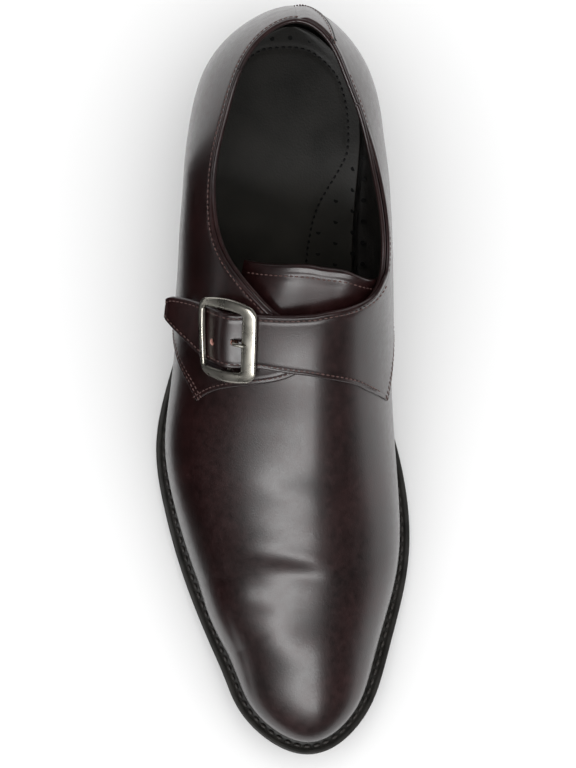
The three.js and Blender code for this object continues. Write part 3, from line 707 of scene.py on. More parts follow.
def makeLateralQuarter():
    s = quarterSizes
    feather = np.stack([np.linspace(0, cornerStation, 60), np.full(60, 260.0)], -1)
    bottom = np.concatenate([feather, smoothCurve(lateralFront, 90)[1:]])
    top = np.concatenate([toplineCurve("lateral", 0, 8), [[6.22, 86.0], lateralTab[-1]]])
    left = np.stack([np.zeros(40), np.linspace(260, 155, 40)], -1)
    right = smoothCurve(lateralTab, 90)
    rowShares = edgeShares(s["height"], s["step"])
    columnShares = edgeShares(curveLength(top), s["step"])
    q, v = stretchedGrid(bottom, right, top, left, rowShares, columnShares)
    rows = [(("last",), s["collarRow"], s["pull"])]
    rows += [(("first", "right"), inset, s["pull"]) for inset in s["frontRows"]]
    sides = ("first", "last", "right")
    quarter = leatherSheet("lateral_quarter", q, v, quarterLow(q), s["thick"], sides, calf, rows=rows)
    return finishPiece(quarter, ("upper",))


# the strap, from the medial quarter to its tip: girth from the ridge (medial positive),
# y of its back and front edges, and its underside's height
strapRows = [
    [38, 41.5, -4.6, 0.3],
    [31, 36.2, -2.4, 0.3],
    [24, 32.8, 0, 0.4],
    [17, 30.6, 1.8, 0.6],
    [9, 29.2, 3.4, 0.9],
    [1, 28.2, 4.8, 1.2],
    [-7, 28, 6, 1.5],
    [-13, 28.2, 7, 1.6],
    [-17.5, 28.4, 7.5, 1.6],
    [-21.3, 28.7, 7.8, 2.2],
    [-24.8, 29, 8.2, 3.9],
    [-28.2, 29.5, 8.8, 4.6],
    [-31.3, 29.9, 9.6, 4],
    [-34.2, 30.4, 10.2, 3],
    [-37.8, 31.2, 11, 2.1],
    [-42, 32.2, 12.6, 1.6],
    [-47.5, 33.6, 16.4, 2.2],
    [-53, 34.8, 20.6, 4],
    [-58.5, 35.4, 24.8, 6],
    [-61.5, 34.4, 27.8, 7],
]
strapSizes = {
    "thick": 2.0,
    "overTab": 0.3,  # it rises this much more where it crosses the lateral tab
    "sewn": 1.9,
    "width": 46,  # about, for the spacing of its rows
    # girth of the prong's hole and the spare one, and how far each is off the strap's middle
    "holes": ((-24.6, 0.0), (-34.0, -1.8)),
    "holeRadius": 1.35,
}


# height of the strap's underside at rows of its table
def strapLift(rows):
    table = np.array(strapRows, float)
    girth = np.interp(rows, np.arange(len(table)), table[:, 0])
    lift = splineAt(controlsThrough(table[:, 3], False), rows, False)
    return lift + strapSizes["overTab"] * ease((20 - girth) / 12)


def girthPoint(y, girth):
    q = float(stationAt(y))
    return q, float(roundAt(q, girth))


def makeMedialQuarter():
    s = quarterSizes
    backs = [girthPoint(row[1], row[0]) for row in strapRows]
    fronts = [girthPoint(row[2], row[0]) for row in strapRows]
    collar = [tuple(toplineCurve("medial", t, t, 1)[0]) for t in (0, 1, 2, 3, 4, 5, 5.6)]
    onTop = curveThrough(collar + backs)
    onFront = curveThrough([medialFront[-1]] + fronts[1:])
    join = len(collar)  # where the strap's rows begin along the top
    tipRow = len(strapRows) - 1
    feather = np.stack([np.linspace(0, cornerStation, 60), np.full(60, -80.0)], -1)
    front = smoothCurve(medialFront, 90)
    counts = (78, 52, 150)
    shares = [np.linspace(0, 1, n) for n in counts]
    bottom = [
        alongCurve(feather, shares[0]),
        alongCurve(front, shares[1])[1:],
        onFront(shares[2] * tipRow)[1:],
    ]
    # the strap's end columns crowd together towards the tip, for its rounded edge
    corner = 4.7  # where along the top the feather line ends below
    parts = [shares[0] * corner, corner + shares[1][1:] * (join - corner), join + shares[2][1:] * tipRow]
    topAt = np.concatenate(parts)
    bottom = np.concatenate(bottom)
    top = onTop(topAt)
    crowded = (0.25, 0.5, 0.7, 0.85, 0.95)
    for k, share in enumerate(crowded):
        at = tipRow - 1 + share
        bottom[k - len(crowded) - 1] = onFront(at)
        top[k - len(crowded) - 1] = onTop(join + at)
    rowShares = edgeShares(strapSizes["width"], 1.15)
    grid = bottom[None] + (top - bottom)[None] * rowShares[:, None, None]
    q, v = grid[..., 0], grid[..., 1]
    lift = strapLift(np.clip(topAt - join, 0, tipRow))
    quarter = quarterLow(bottom[:, 0])
    inStrap = ease((topAt - join) / 1.2)
    low = quarter + (lift - quarter) * inStrap
    thick = s["thick"] + (strapSizes["thick"] - s["thick"]) * ease((topAt - join - 0.5) / 3)
    sewn = strapSizes["sewn"]
    rows = [(("last",), sewn + 0.6, s["pull"]), (("first", "right"), sewn, s["pull"])]
    sides = ("first", "last", "right", "left")
    return leatherSheet("medial_quarter_and_strap", q, v, low, thick, sides, calf, rows=rows)


tailSizes = {
    "thick": 0.8,
    "proud": -0.1,
    "length": 1.15,  # in stations
    "width": 16,
    "step": 0.9,
    "sewn": 1.8,
    "edge": 0.3,
}


# the tail's stations, its lower edge and the collar above it in degrees, and its underside
def tailLines(count):
    s = tailSizes
    share = np.linspace(0, 1, count)
    stations = s["length"] * share
    _, top, _ = topline("medial", stations)
    lower = np.minimum(2 + 21 * stations, top - 1.6 * (1 - share) - 0.6)
    sunk = quarterSizes["thick"]  # it climbs out of the quarter over the first third of a station
    low = (sunk + s["proud"]) * ease(stations / 0.3) - sunk
    return stations, lower, top, low


# the lateral quarter's tail laps over the medial one at the back of the collar
def makeTail():
    s = tailSizes
    stations, lower, top, low = tailLines(60)
    shares = edgeShares(s["width"], s["step"])
    grid = lower[None] + (top - lower)[None] * shares[:, None]
    rows = [(("first",), s["sewn"], 0.14)]
    sides = ("first", "last", "right")
    tail = leatherSheet("heel_tail", stations[None], grid, low[None], s["thick"], sides, calf, rows=rows)
    finishPiece(tail, ("upper",))
    # its cut edge is inked; the dark rod along it also paints the shade under the edge, which faces down
    path = offLast(stations, lower - 0.8, low + 2 * s["edge"])
    points, faces = rodPoints(path, np.full(len(path), s["edge"]), sides=10)
    finishPiece(makePiece("tail_inked_edge_and_shade", points, faces, edgeInk))


liningSizes = {"thick": 0.85, "step": 2.0, "rounding": 0.7, "vampSteps": 90}


def makeLinings():
    s = liningSizes
    thick, low = s["thick"], -lastSizes["wall"]
    for side, foot in (("lateral", 260), ("medial", -80)):
        q, v, below = topline(side, np.linspace(0, 8, 130))
        shares = edgeShares(quarterSizes["height"], s["step"], startFine=False)[:, None]
        gridQ = below[None] + (q - below)[None] * shares
        gridV = foot + (v - foot)[None] * shares
        sides = ("last",)
        name = side + "_lining"
        piece = leatherSheet(name, gridQ, gridV, low, thick, sides, liningLeather, s["rounding"])
        finishPiece(piece, ("upper",))
    v = roundSteps(9, s["vampSteps"])
    stations = 6.2 - 0.12 * np.clip(1 - np.abs(v - 90) / 90, 0, 1)
    share = np.linspace(0, 1, s["vampSteps"])
    gridQ = stations[:, None] + (toeStation - stations[:, None]) * share[None]
    piece = leatherSheet("vamp_lining", gridQ, v[:, None], low, thick, (), liningLeather)
    finishPiece(piece, ("upper",))


tongueSizes = {
    "frontY": 2,
    "long": 39.5,
    "droop": 7,
    "lateral": -36,  # girth of its two sides
    "medial": 50,
    "thick": 1.8,
    "rounding": 0.9,
    "sewn": 3.7,
}


def tongueGrid(lengthShares, girthShares):
    s = tongueSizes
    girth = s["lateral"] + (s["medial"] - s["lateral"]) * np.asarray(girthShares)
    backY = 41.5 - 0.13 * girth + 0.0012 * girth**2 + 0.0028 * np.clip(girth - 10, 0, None) ** 2
    y = s["frontY"] + (backY[None] - s["frontY"]) * np.asarray(lengthShares)[:, None]
    q = stationAt(y)
    v = np.empty_like(q)
    for index in np.ndindex(q.shape):
        v[index] = roundAt(q[index], girth[index[1]])
    # it hangs a little into the opening, apart from its medial side, which stays by the quarter
    hang = s["droop"] * ease((y - 14) / 34) * (1 - ease((girth - 12) / 30))
    low = -s["thick"] - lastSizes["wall"] - lastSizes["gap"] - hang
    return q, v, low


def makeTongue():
    s = tongueSizes
    q, v, low = tongueGrid(edgeShares(46, 1.5, startFine=False), edgeShares(73, 1.8))
    rows = [(("last",), s["sewn"], 0.2)]
    sides = ("last", "left", "right")
    tongue = leatherSheet("tongue_leather", q, v, low, s["thick"], sides, calf, s["rounding"], rows)
    return finishPiece(tongue, ("tongue",))


beadSizes = {"radius": 0.95, "depth": 1.15}


# the collar's folded edge, a bead between leather and lining
def makeCollarBead():
    for side, end in (("lateral", 7.9), ("medial", 7.0)):
        q, v, below = topline(side, np.linspace(0, end, 260))
        path = offLast(q, v, -beadSizes["depth"])
        points, faces = rodPoints(path, [beadSizes["radius"]] * len(path), sides=14)
        finishPiece(makePiece(side + "_collar_bead", points, faces, calf))


makeVamp()
makeLateralQuarter()
medialQuarter = makeMedialQuarter()
makeTail()
makeLinings()
makeCollarBead()
makeTongue()
print("upper made")


# welt, sole, heel and sock

soleSizes = {"around": 420, "weltUnder": 4.5, "heelAround": 110, "breastSteps": 24}


def aroundShoe(edge, out, height):
    p = np.arange(soleSizes["around"]) * 2 * toeStation / soleSizes["around"]
    plan = edge(p, out)
    return np.concatenate([plan, height(plan[:, 1])[:, None]], -1)


# a plate between rings, closed by strips straight across the foot
def plateFaces(rings):
    n = len(rings[0])
    faces = gridFaces(len(rings), n, closed=True)
    for start, flip in ((0, False), ((len(rings) - 1) * n, True)):
        for i in range(n // 2):
            quad = [start + k for k in (i, i + 1, n - 1 - i, (n - i) % n)]
            faces.append(quad if flip else quad[::-1])
    return faces


def makeOutsole():
    s = lastSizes
    # inset from the edge and height: a bevelled tread, a trimmed side and a softened top
    profile = [(-1.0, 0), (-0.45, 0.25), (-0.12, 0.8), (0, 1.6), (0, 4.3), (-0.12, 4.7), (-0.4, s["outsole"])]
    rings = [aroundShoe(soleEdge, out, lambda y, z=z: soleHeight(y) + z) for out, z in profile]
    outsole = makePiece("rubber_outsole", np.concatenate(rings), plateFaces(rings), soleRubber)
    outsole.data.materials.append(edgeInk)
    for face in outsole.data.polygons:  # the side is inked like the welt
        face.material_index = 1 if abs(face.normal.z) < 0.8 else 0
    return finishPiece(outsole, ("outsole",))


weltSizes = {
    "thick": 2.7,
    "groove": (2.0, 4.7),  # its two sides, from the welt's edge
    "grooveDepth": 0.4,
    "row": 3.3,
    "pitch": 4.0,
    "length": 3.1,
    "radius": 0.72,
    "from": 6.7,  # station where the row of stitches starts and ends
}


def makeWelt():
    s = weltSizes
    near, far = s["groove"]
    floor = -s["grooveDepth"]
    # out from the edge and height above the feather line: the trimmed side, then the groove
    profile = [(-0.5, -s["thick"]), (-0.15, -2.5), (0, -2.1), (0, -0.75), (-0.12, -0.3), (-0.45, -0.03)]
    profile += [(-0.9, 0.05), (0.25 - near, 0.02), (-near, -0.12), (-0.25 - near, floor)]
    profile += [(0.3 - far, floor), (-far, -0.15), (-0.3 - far, 0.05)]
    rings = [aroundShoe(soleEdge, out, lambda y, z=z: featherHeight(y) + z) for out, z in profile]
    for z in (0.0, -s["thick"]):
        under = -soleSizes["weltUnder"]
        rings.append(aroundShoe(featherPoint, under, lambda y, z=z: featherHeight(y) + z))
    faces = gridFaces(len(rings) + 1, soleSizes["around"], closed=True)
    welt = makePiece("stitched_welt", np.concatenate(rings + rings[:1]), faces, weltInk)
    return finishPiece(welt, ("welt",))


heelSizes = {"lifts": 3, "joint": 0.16, "taper": 0.8}


# a ring round the heel, from the medial end of its breast over the back to the lateral end
def heelRing(inset, height):
    s = lastSizes
    far = float(stationAt(s["breastY"]))
    p = np.linspace(far, -far, soleSizes["heelAround"])
    plan = soleEdge(p, -inset)
    plan[:, 1] = np.maximum(plan[:, 1], s["breastY"])
    t = np.linspace(0, 1, soleSizes["breastSteps"] + 1)[1:-1]
    breast = plan[-1] + (plan[0] - plan[-1]) * t[:, None]
    breast[:, 1] = s["breastY"] + s["breastHollow"] * 4 * t * (1 - t)
    plan = np.concatenate([plan, breast])
    return np.concatenate([plan, np.broadcast_to(height(plan[:, 1]), len(plan))[:, None]], -1)


def makeHeelPart(name, levels, material, node):
    rings = [heelRing(inset, height) for inset, height in levels]
    faces = tubeFaces(len(rings), len(rings[0]))
    part = makePiece(name, np.concatenate(rings), faces, material)
    bm = bmesh.new()
    bm.from_mesh(part.data)
    bmesh.ops.triangulate(bm, faces=[f for f in bm.faces if len(f.verts) > 4])
    bm.to_mesh(part.data)
    bm.free()
    return finishPiece(part, (node,))


def makeHeel():
    s, h = lastSizes, heelSizes
    low = s["topLift"] + s["gap"]
    top = lambda y: soleHeight(y) - s["gap"]
    levels = [(h["taper"] + 0.2, lambda y: low + 0 * y)]
    for lift in range(h["lifts"]):
        for share, groove in ((0.04, 0), (0.5, 0), (0.96, 0), (1.0, h["joint"])):
            at = (lift + share) / h["lifts"]
            inset = h["taper"] * (1 - at) + 0.1 + groove
            levels.append((inset, lambda y, at=at: low + (top(y) - low) * at))
    makeHeelPart("heel_lifts", levels, edgeInk, "heel_stack")
    levels = [(1.9, 0.0), (1.45, 0.15), (1.15, 0.6), (0.95, 3.0)]
    levels += [(0.8, s["topLift"] - 0.3), (1.0, s["topLift"])]
    levels = [(inset, lambda y, z=z: z + 0 * y) for inset, z in levels]
    makeHeelPart("rubber_top_lift", levels, soleRubber, "top_lift")


sockSizes = {
    "thick": 0.9,
    "curl": 1.6,  # how far its sides rise against the lining
    "inset": -0.3,
    "stations": 150,
    "seamDepth": 0.35,
    "pitch": 2.6,
    "length": 1.7,
    "radius": 0.5,
}
# x and y of the heel pad's and arch cushion's seam, from the lateral side of the heel over its
# back and down the medial side to under the tongue
sockSeam = [(-19.5, 128), (-11.5, 134.3), (-5.5, 136), (2.6, 136.3), (9.5, 134.8), (14.7, 131.3)]
sockSeam += [(19.6, 126.2), (22.8, 119.2), (24.8, 109.9), (25.3, 101), (24.7, 94), (22.3, 88.4)]
sockSeam += [(18.9, 82.6), (15.5, 77), (12.7, 71.2), (10.7, 64.6), (9.5, 57.4), (8.7, 50), (8.2, 38)]
sockInset = -(lastSizes["wall"] + lastSizes["gap"] + sockSizes["inset"])


def sockTop(y, share):
    s = sockSizes
    bed = featherHeight(y) + lastSizes["gap"] + lastSizes["insole"] + s["thick"]
    return bed + s["curl"] * np.abs(2 * share - 1) ** 6


# height of the sock's face at places given as x and y
def sockFace(places):
    q = stationAt(places[:, 1])
    left, right = featherPoint(q, sockInset)[:, 0], featherPoint(-q, sockInset)[:, 0]
    return sockTop(places[:, 1], np.clip((places[:, 0] - left) / (right - left), 0, 1))


def makeSock():
    s = sockSizes
    q = np.linspace(0.12, toeStation - 0.12, s["stations"])
    left, right = featherPoint(q, sockInset), featherPoint(-q, sockInset)
    share = edgeShares(60, 1.1)
    plan = left[None] + (right - left)[None] * share[:, None, None]
    top = sockTop(plan[..., 1], share[:, None])
    seam = smoothCurve(sockSeam, 90)
    gap = np.full(top.shape, 1e3)
    for x, y in seam:
        gap = np.minimum(gap, np.hypot(plan[..., 0] - x, plan[..., 1] - y))
    top = top - s["seamDepth"] * np.exp(-((gap / 1.1) ** 2))
    base = featherHeight(plan[..., 1]) + lastSizes["gap"] + lastSizes["insole"]
    under = np.concatenate([plan, (base + 0.02)[..., None]], -1)
    distance = edgeDistance(under, ("first", "last"))
    roll = np.sqrt(np.clip(1 - (1 - np.clip(distance / 0.7, 0, 1)) ** 2, 0, 1))
    over = np.concatenate([plan, (base + (top - base) * (0.3 + 0.7 * roll))[..., None]], -1)
    points = np.concatenate([over.reshape(-1, 3), under.reshape(-1, 3)])
    sock = makePiece("sock", points, sheetFaces(*top.shape), sockLeather)
    return finishPiece(sock)


makeOutsole()
makeWelt()
makeHeel()
makeSock()
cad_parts["insole"].data.materials.clear()
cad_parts["insole"].data.materials.append(sockLeather)
print("sole, heel and sock made")


# buckle

buckleSizes = {
    "girth": -28.0,
    "y": 19.0,
    "slant": 0.17,
    "halfLong": 11.8,
    "skew": 0.012,
    "halfWide": 13.8,
    "belly": 2.0,
    "corner": 3.2,
    "windowLong": 8.0,
    "windowShift": -1.6,  # the medial side of the frame is the widest
    "windowWide": 11.1,
    "windowCorner": 1.2,
    "windowBelly": 0.5,
    "low": 4.8,
    "high": 6.8,
    "barHeight": 2.2,
    "barRadius": 0.8,
    "prongRadius": 0.95,
    "prongTip": 0.72,
    "section": 28,  # steps round the frame's own section
}


def onBuckle(along, across, height):
    s = buckleSizes
    girth = s["girth"] + along + min(along, 0) * s["skew"] * across
    y = s["y"] - s["slant"] * along + across
    q, v = girthPoint(y, girth)
    return offLast(q, v, height)


# a rounded rectangle with long sides that bow out by belly
def frameLoop(halfLong, halfWide, corner, belly, perCorner=12, perSide=20):
    points = []
    for k, (sx, sy) in enumerate(((1, 1), (-1, 1), (-1, -1), (1, -1))):
        centre = np.array([sx * (halfLong - corner), sy * (halfWide - corner)])
        for i in range(perCorner + 1):
            a = math.pi / 2 * (k + i / perCorner)
            points.append(centre + corner * np.array([math.cos(a), math.sin(a)]))
        start = points[-1]
        turned = start * (np.array([-1, 1]) if k % 2 == 0 else np.array([1, -1]))
        points += [start + (turned - start) * i / perSide for i in range(1, perSide)]
    x, y = np.array(points).T
    return x, y + belly * y / halfWide * (1 - (x / halfLong) ** 2)


def makeBuckleFrame():
    s = buckleSizes
    outX, outY = frameLoop(s["halfLong"], s["halfWide"], s["corner"], s["belly"])
    inX, inY = frameLoop(s["windowLong"], s["windowWide"], s["windowCorner"], s["windowBelly"])
    inX = inX + s["windowShift"]
    angle = np.arange(s["section"]) * 2 * np.pi / s["section"]
    square = lambda w: np.sign(w) * np.abs(w) ** 0.6
    width = 0.5 + 0.5 * square(np.cos(angle))
    middle, half = (s["low"] + s["high"]) / 2, (s["high"] - s["low"]) / 2
    height = middle + half * square(np.sin(angle)) * (1 + 0.12 * np.sin(np.pi * width) * (np.sin(angle) > 0))
    rings = []
    for w, h in zip(width, height):
        along, across = inX + (outX - inX) * w, inY + (outY - inY) * w
        rings.append([onBuckle(x, y, h) for x, y in zip(along, across)])
    faces = gridFaces(s["section"] + 1, len(outX), closed=True)
    frameRing = makePiece("buckle_frame", np.concatenate(rings + rings[:1]), faces, nickel)
    return finishPiece(frameRing, ("buckle",))


# a rod with domed ends that thins from radius to tip
def domedRod(name, path, radius, tip, count, replaced):
    line = smoothCurve(path, count)
    share = np.linspace(0, 1, count)
    radii = radius + (tip - radius) * share**2
    ends = np.minimum(share, 1 - share) * (count - 1)
    radii = radii * np.sqrt(np.clip(1 - (1 - np.clip(ends / 2.5, 0.05, 1)) ** 2, 0.02, 1))
    points, faces = rodPoints(line, radii)
    return finishPiece(makePiece(name, points, faces, nickel), replaced)


def makeBuckle():
    s = buckleSizes
    makeBuckleFrame()
    reach = s["windowWide"] + 1.6
    across = (-reach, 1.6 - reach, 0, reach - 1.6, reach)
    heights = (s["low"] + 0.9, s["barHeight"], s["barHeight"], s["barHeight"], s["low"] + 0.9)
    bar = [onBuckle(0, a, h) for a, h in zip(across, heights)]
    domedRod("buckle_bar", bar, s["barRadius"], s["barRadius"], 40, ("buckle",))
    rise = strapSizes["holes"][0][0] - s["girth"]
    pin = [
        onBuckle(1.5, 0, s["barHeight"]),
        onBuckle(rise - 0.8, 0, s["barHeight"] + 0.4),
        onBuckle(rise - 0.1, 0, s["barHeight"] + 1.7),
        onBuckle(rise + 0.2, 0, s["barHeight"] + 4),
        onBuckle(rise + 1.2, 0, s["high"] + 0.9),
        onBuckle(rise + 5, 0, s["high"] + 0.85),
    ]
    domedRod("buckle_prong", pin, s["prongRadius"], s["prongTip"], 50, ("prong",))


chapeSizes = {"half": 7.0, "leather": 0.8, "tail": -20, "slotHalf": 1.7}


def makeChape():
    s, b = chapeSizes, buckleSizes
    inner = b["barRadius"] + lastSizes["gap"]
    tails = [(s["tail"] * (1 - k / 16), lastSizes["gap"]) for k in range(16)]
    turns = [np.pi * (-0.5 + 1.5 * k / 24) for k in range(25)]
    loop = lambda radius: [(radius * np.cos(a), b["barHeight"] + radius * np.sin(a)) for a in turns]
    outer = tails + loop(inner + s["leather"])
    within = [(x, z + s["leather"]) for x, z in tails] + loop(inner)
    # the slot for the prong parts the loop in two
    for half, (low, high) in enumerate(((-s["half"], -s["slotHalf"]), (s["slotHalf"], s["half"]))):
        across = np.linspace(low, high, 9)
        grids = [
            np.array([[onBuckle(x, c, max(z, lastSizes["gap"])) for c in across] for x, z in line])
            for line in (outer, within)
        ]
        points = np.concatenate([g.reshape(-1, 3) for g in grids])
        strip = makePiece("chape_%d" % (half + 1), points, sheetFaces(len(outer), 9), calf)
        finishPiece(strip, ("chape",))


makeBuckle()
makeChape()
print("buckle made")


# stitches and holes

# Geometry Nodes. Both trees put one small solid on each point, turned to an up attribute.
def newTree(name, source, sizes):
    tree = bpy.data.node_groups.new(name, "GeometryNodeTree")
    sockets = [(source, "Geometry")] + [(size, "Float") for size in sizes] + [("Finish", "Material")]
    for label, kind in sockets:
        tree.interface.new_socket(label, in_out="INPUT", socket_type="NodeSocket" + kind)
    tree.interface.new_socket("Result", in_out="OUTPUT", socket_type="NodeSocketGeometry")
    up = {"Name": "up"}
    upward = addNode(tree, "GeometryNodeInputNamedAttribute", up, data_type="FLOAT_VECTOR")
    return tree, addNode(tree, "NodeGroupInput").outputs, upward.outputs["Attribute"]


def endTree(tree, given, points, solid, rotation):
    placing = {"Points": points, "Instance": solid, "Rotation": rotation}
    many = addNode(tree, "GeometryNodeInstanceOnPoints", placing)
    real = addNode(tree, "GeometryNodeRealizeInstances", {"Geometry": many})
    dressing = {"Geometry": real, "Material": given["Finish"]}
    addNode(tree, "NodeGroupOutput", {"Result": addNode(tree, "GeometryNodeSetMaterial", dressing)})
    return tree


# a rounded stitch at even steps along a line, sunk or raised along up
def stitchTree():
    sizes = ("Pitch", "Length", "Radius", "Sunk")
    tree, given, up = newTree("stitches along a line", "Line", sizes)
    curve = addNode(tree, "GeometryNodeMeshToCurve", {"Mesh": given["Line"]})
    spacing = {"Curve": curve, "Length": given["Pitch"]}
    steps = addNode(tree, "GeometryNodeResampleCurve", spacing, mode="LENGTH")
    tangent = addNode(tree, "GeometryNodeInputTangent")
    turned = addNode(tree, "FunctionNodeAlignRotationToVector", {"Vector": tangent}, axis="X")
    upright = {"Rotation": turned, "Vector": up}
    settled = addNode(tree, "FunctionNodeAlignRotationToVector", upright, axis="Z", pivot_axis="X")
    sink = addNode(tree, "ShaderNodeVectorMath", {0: up, "Scale": given["Sunk"]}, operation="SCALE")
    placed = addNode(tree, "GeometryNodeSetPosition", {"Geometry": steps, "Offset": sink})
    bead = addNode(tree, "GeometryNodeMeshUVSphere", {"Segments": 8, "Rings": 6, "Radius": 1.0})
    half = addNode(tree, "ShaderNodeMath", {0: given["Length"], 1: 0.5}, operation="MULTIPLY")
    across = given["Radius"]
    size = addNode(tree, "ShaderNodeCombineXYZ", {"X": half, "Y": across, "Z": across})
    shaped = addNode(tree, "GeometryNodeTransform", {"Geometry": bead, "Scale": size})
    smooth = addNode(tree, "GeometryNodeSetShadeSmooth", {"Geometry": shaped})
    return endTree(tree, given, placed, smooth, settled)


# a small disc on each point, lying on the surface
def holeTree():
    tree, given, up = newTree("punched holes on points", "Points", ("Radius", "Depth"))
    turned = addNode(tree, "FunctionNodeAlignRotationToVector", {"Vector": up}, axis="Z")
    sizes = {"Vertices": 14, "Radius": given["Radius"], "Depth": given["Depth"]}
    disc = addNode(tree, "GeometryNodeMeshCylinder", sizes)
    return endTree(tree, given, given["Points"], disc, turned)


stitches = stitchTree()
holes = holeTree()


# runs a tree on a line or loose points, with an up direction at each, and keeps the result;
# sizes are in millimetres
def bakedNodes(name, tree, points, ups, sizes, finish):
    joined = tree is stitches
    values = {key: size * mm for key, size in sizes.items()}
    values["Finish"] = finish
    mesh = bpy.data.meshes.new(name)
    edges = [(i, i + 1) for i in range(len(points) - 1)] if joined else []
    mesh.from_pydata((np.asarray(points) * mm).tolist(), edges, [])
    attribute = mesh.attributes.new("up", "FLOAT_VECTOR", "POINT")
    attribute.data.foreach_set("vector", np.asarray(ups, np.float32).ravel())
    source = bpy.data.objects.new(name + "_path", mesh)
    bpy.context.scene.collection.objects.link(source)
    modifier = source.modifiers.new("nodes", "NODES")
    modifier.node_group = tree
    for item in tree.interface.items_tree:
        if item.in_out == "INPUT" and item.name in values:
            modifier[item.identifier] = values[item.name]
    source.update_tag()
    bpy.context.view_layer.update()
    evaluated = source.evaluated_get(bpy.context.evaluated_depsgraph_get())
    baked = bpy.data.meshes.new_from_object(evaluated)
    for old in [a for a in baked.attributes if a.name == "up"]:
        baked.attributes.remove(old)
    source.modifiers.remove(modifier)
    bpy.data.objects.remove(source)
    piece = bpy.data.objects.new(name, baked)
    bpy.context.scene.collection.objects.link(piece)
    return finishPiece(piece)


stitchSizes = {"Pitch": 2.1, "Length": 1.55, "Radius": 0.3, "Sunk": -0.1}


# points at a height above the last, moved sideways off a curve given as q and v
def besideCurve(curve, inset, height):
    q, v = curve[:, 0], curve[:, 1]
    at = offLast(q, v, height)
    up = lastNormal(q, v)
    tangent = np.gradient(at, axis=0)
    tangent /= np.linalg.norm(tangent, axis=1, keepdims=True)
    side = np.cross(up, tangent)
    return at + side * inset, up


def sewAlong(name, curve, inset, height):
    points, ups = besideCurve(curve, inset, height)
    return bakedNodes(name, stitches, points, ups, stitchSizes, thread)


# the strap's holes, punched square to the leather, with their raw edges showing
def punchStrap():
    s = strapSizes
    for girth, across in s["holes"]:
        y = buckleSizes["y"] - buckleSizes["slant"] * (girth - buckleSizes["girth"]) + across
        q, v = girthPoint(y, girth)
        path = [offLast(q, v, height) for height in np.linspace(0.6, 12, 5)]
        points, faces = rodPoints(path, [s["holeRadius"]] * len(path), sides=28)
        punch = makePiece("punch", points, faces, rawLeather)
        cut = medialQuarter.modifiers.new("hole", "BOOLEAN")
        cut.operation, cut.solver = "DIFFERENCE", "EXACT"
        cut.object, cut.material_mode = punch, "TRANSFER"
        bpy.context.view_layer.update()
        evaluated = medialQuarter.evaluated_get(bpy.context.evaluated_depsgraph_get())
        cutMesh = bpy.data.meshes.new_from_object(evaluated)
        medialQuarter.modifiers.remove(cut)
        medialQuarter.data = cutMesh
        bpy.data.objects.remove(punch)
    finishPiece(medialQuarter, ("strap", "upper"))


# the strap's back (1) or front (2) edge between two rows of its table, and the rows
def strapCurve(column, firstRow, lastRow, count=160):
    at = np.linspace(firstRow, lastRow, count)
    return curveThrough([girthPoint(row[column], row[0]) for row in strapRows])(at), at


def strapTop(rows):
    return strapLift(rows) + strapSizes["thick"]


def sewUpper():
    q, s = quarterSizes, strapSizes
    top = lambda curve: quarterLow(curve[:, 0]) + q["thick"]
    # below the collar, from the tail round the lateral side to the tab, and on the medial side
    lateral = toplineCurve("lateral", 0, 7.6, 260)
    sewAlong("lateral_collar_stitches", lateral, -q["collarRow"], top(lateral))
    medial = toplineCurve("medial", 2.05, 5.6, 200)
    sewAlong("medial_collar_stitches", medial, q["collarRow"], top(medial))
    for side, line, count, sign in (("lateral", lateralFront, 200, 1), ("medial", medialFront, 160, -1)):
        front = smoothCurve(line, count)
        for k, inset in enumerate(q["frontRows"]):
            sewAlong("%s_front_stitches_%d" % (side, k + 1), front, sign * inset, top(front))
    tab = smoothCurve(lateralTab, 160)
    sewAlong("lateral_tab_stitches", tab, q["frontRows"][0], top(tab))
    last = len(strapRows) - 1
    edge, rows = strapCurve(2, 0.4, last - 0.35)
    sewAlong("strap_front_stitches", edge, -s["sewn"], strapTop(rows))
    edge, rows = strapCurve(1, 0.2, last - 0.35)
    sewAlong("strap_back_stitches", edge, s["sewn"], strapTop(rows))
    # across the tongue's back
    t = tongueSizes
    shares = np.linspace(0.06, 0.94, 120)
    tq, tv, low = tongueGrid(np.array([1 - t["sewn"] / t["long"]]), shares)
    curve = np.stack([tq[0], tv[0]], -1)
    sewAlong("tongue_stitches", curve, 0, low[0] + t["thick"])
    # the tail's lower edge
    stations, lower, _, low = tailLines(90)
    curve = np.stack([stations, lower], -1)
    sewAlong("tail_stitches", curve, -tailSizes["sewn"], low + tailSizes["thick"])


# a row that lies flat, at points given as plan places and heights
def sewFlat(name, plan, z, sizes, finish):
    points = np.concatenate([plan, z[:, None]], -1)
    ups = np.repeat([[0.0, 0.0, 1.0]], len(points), 0)
    tree = stitches if "Pitch" in sizes else holes
    return bakedNodes(name, tree, points, ups, sizes, finish)


def sewWelt():
    s = weltSizes
    p = np.linspace(s["from"], 2 * toeStation - s["from"], 700)
    plan = soleEdge(p, -s["row"])
    sizes = {"Pitch": s["pitch"], "Length": s["length"], "Radius": s["radius"], "Sunk": 0.0}
    z = featherHeight(plan[:, 1]) - 0.1
    sewFlat("welt_stitches", plan, z, sizes, weltThread)


def sewSock():
    s = sockSizes
    seam = smoothCurve(sockSeam, 240)
    sizes = {"Pitch": s["pitch"], "Length": s["length"], "Radius": s["radius"], "Sunk": 0.0}
    sewFlat("sock_stitches", seam, sockFace(seam) - 0.25, sizes, sockThread)


perforationSizes = {
    "radius": 0.95,
    "depth": 0.5,
    "pitch": 8.5,
    "fromY": 96,
    "toY": 22,
    # x of each column on the arch cushion and how far it is shifted, as a share of the pitch
    "columns": ((13.5, 0), (20.5, 0.5), (27.3, 0), (31.5, 0.5)),
    "fromSeam": 3,
    "heel": ((-5.5, 139.8), (1.8, 140.2), (9.9, 139.0)),
}


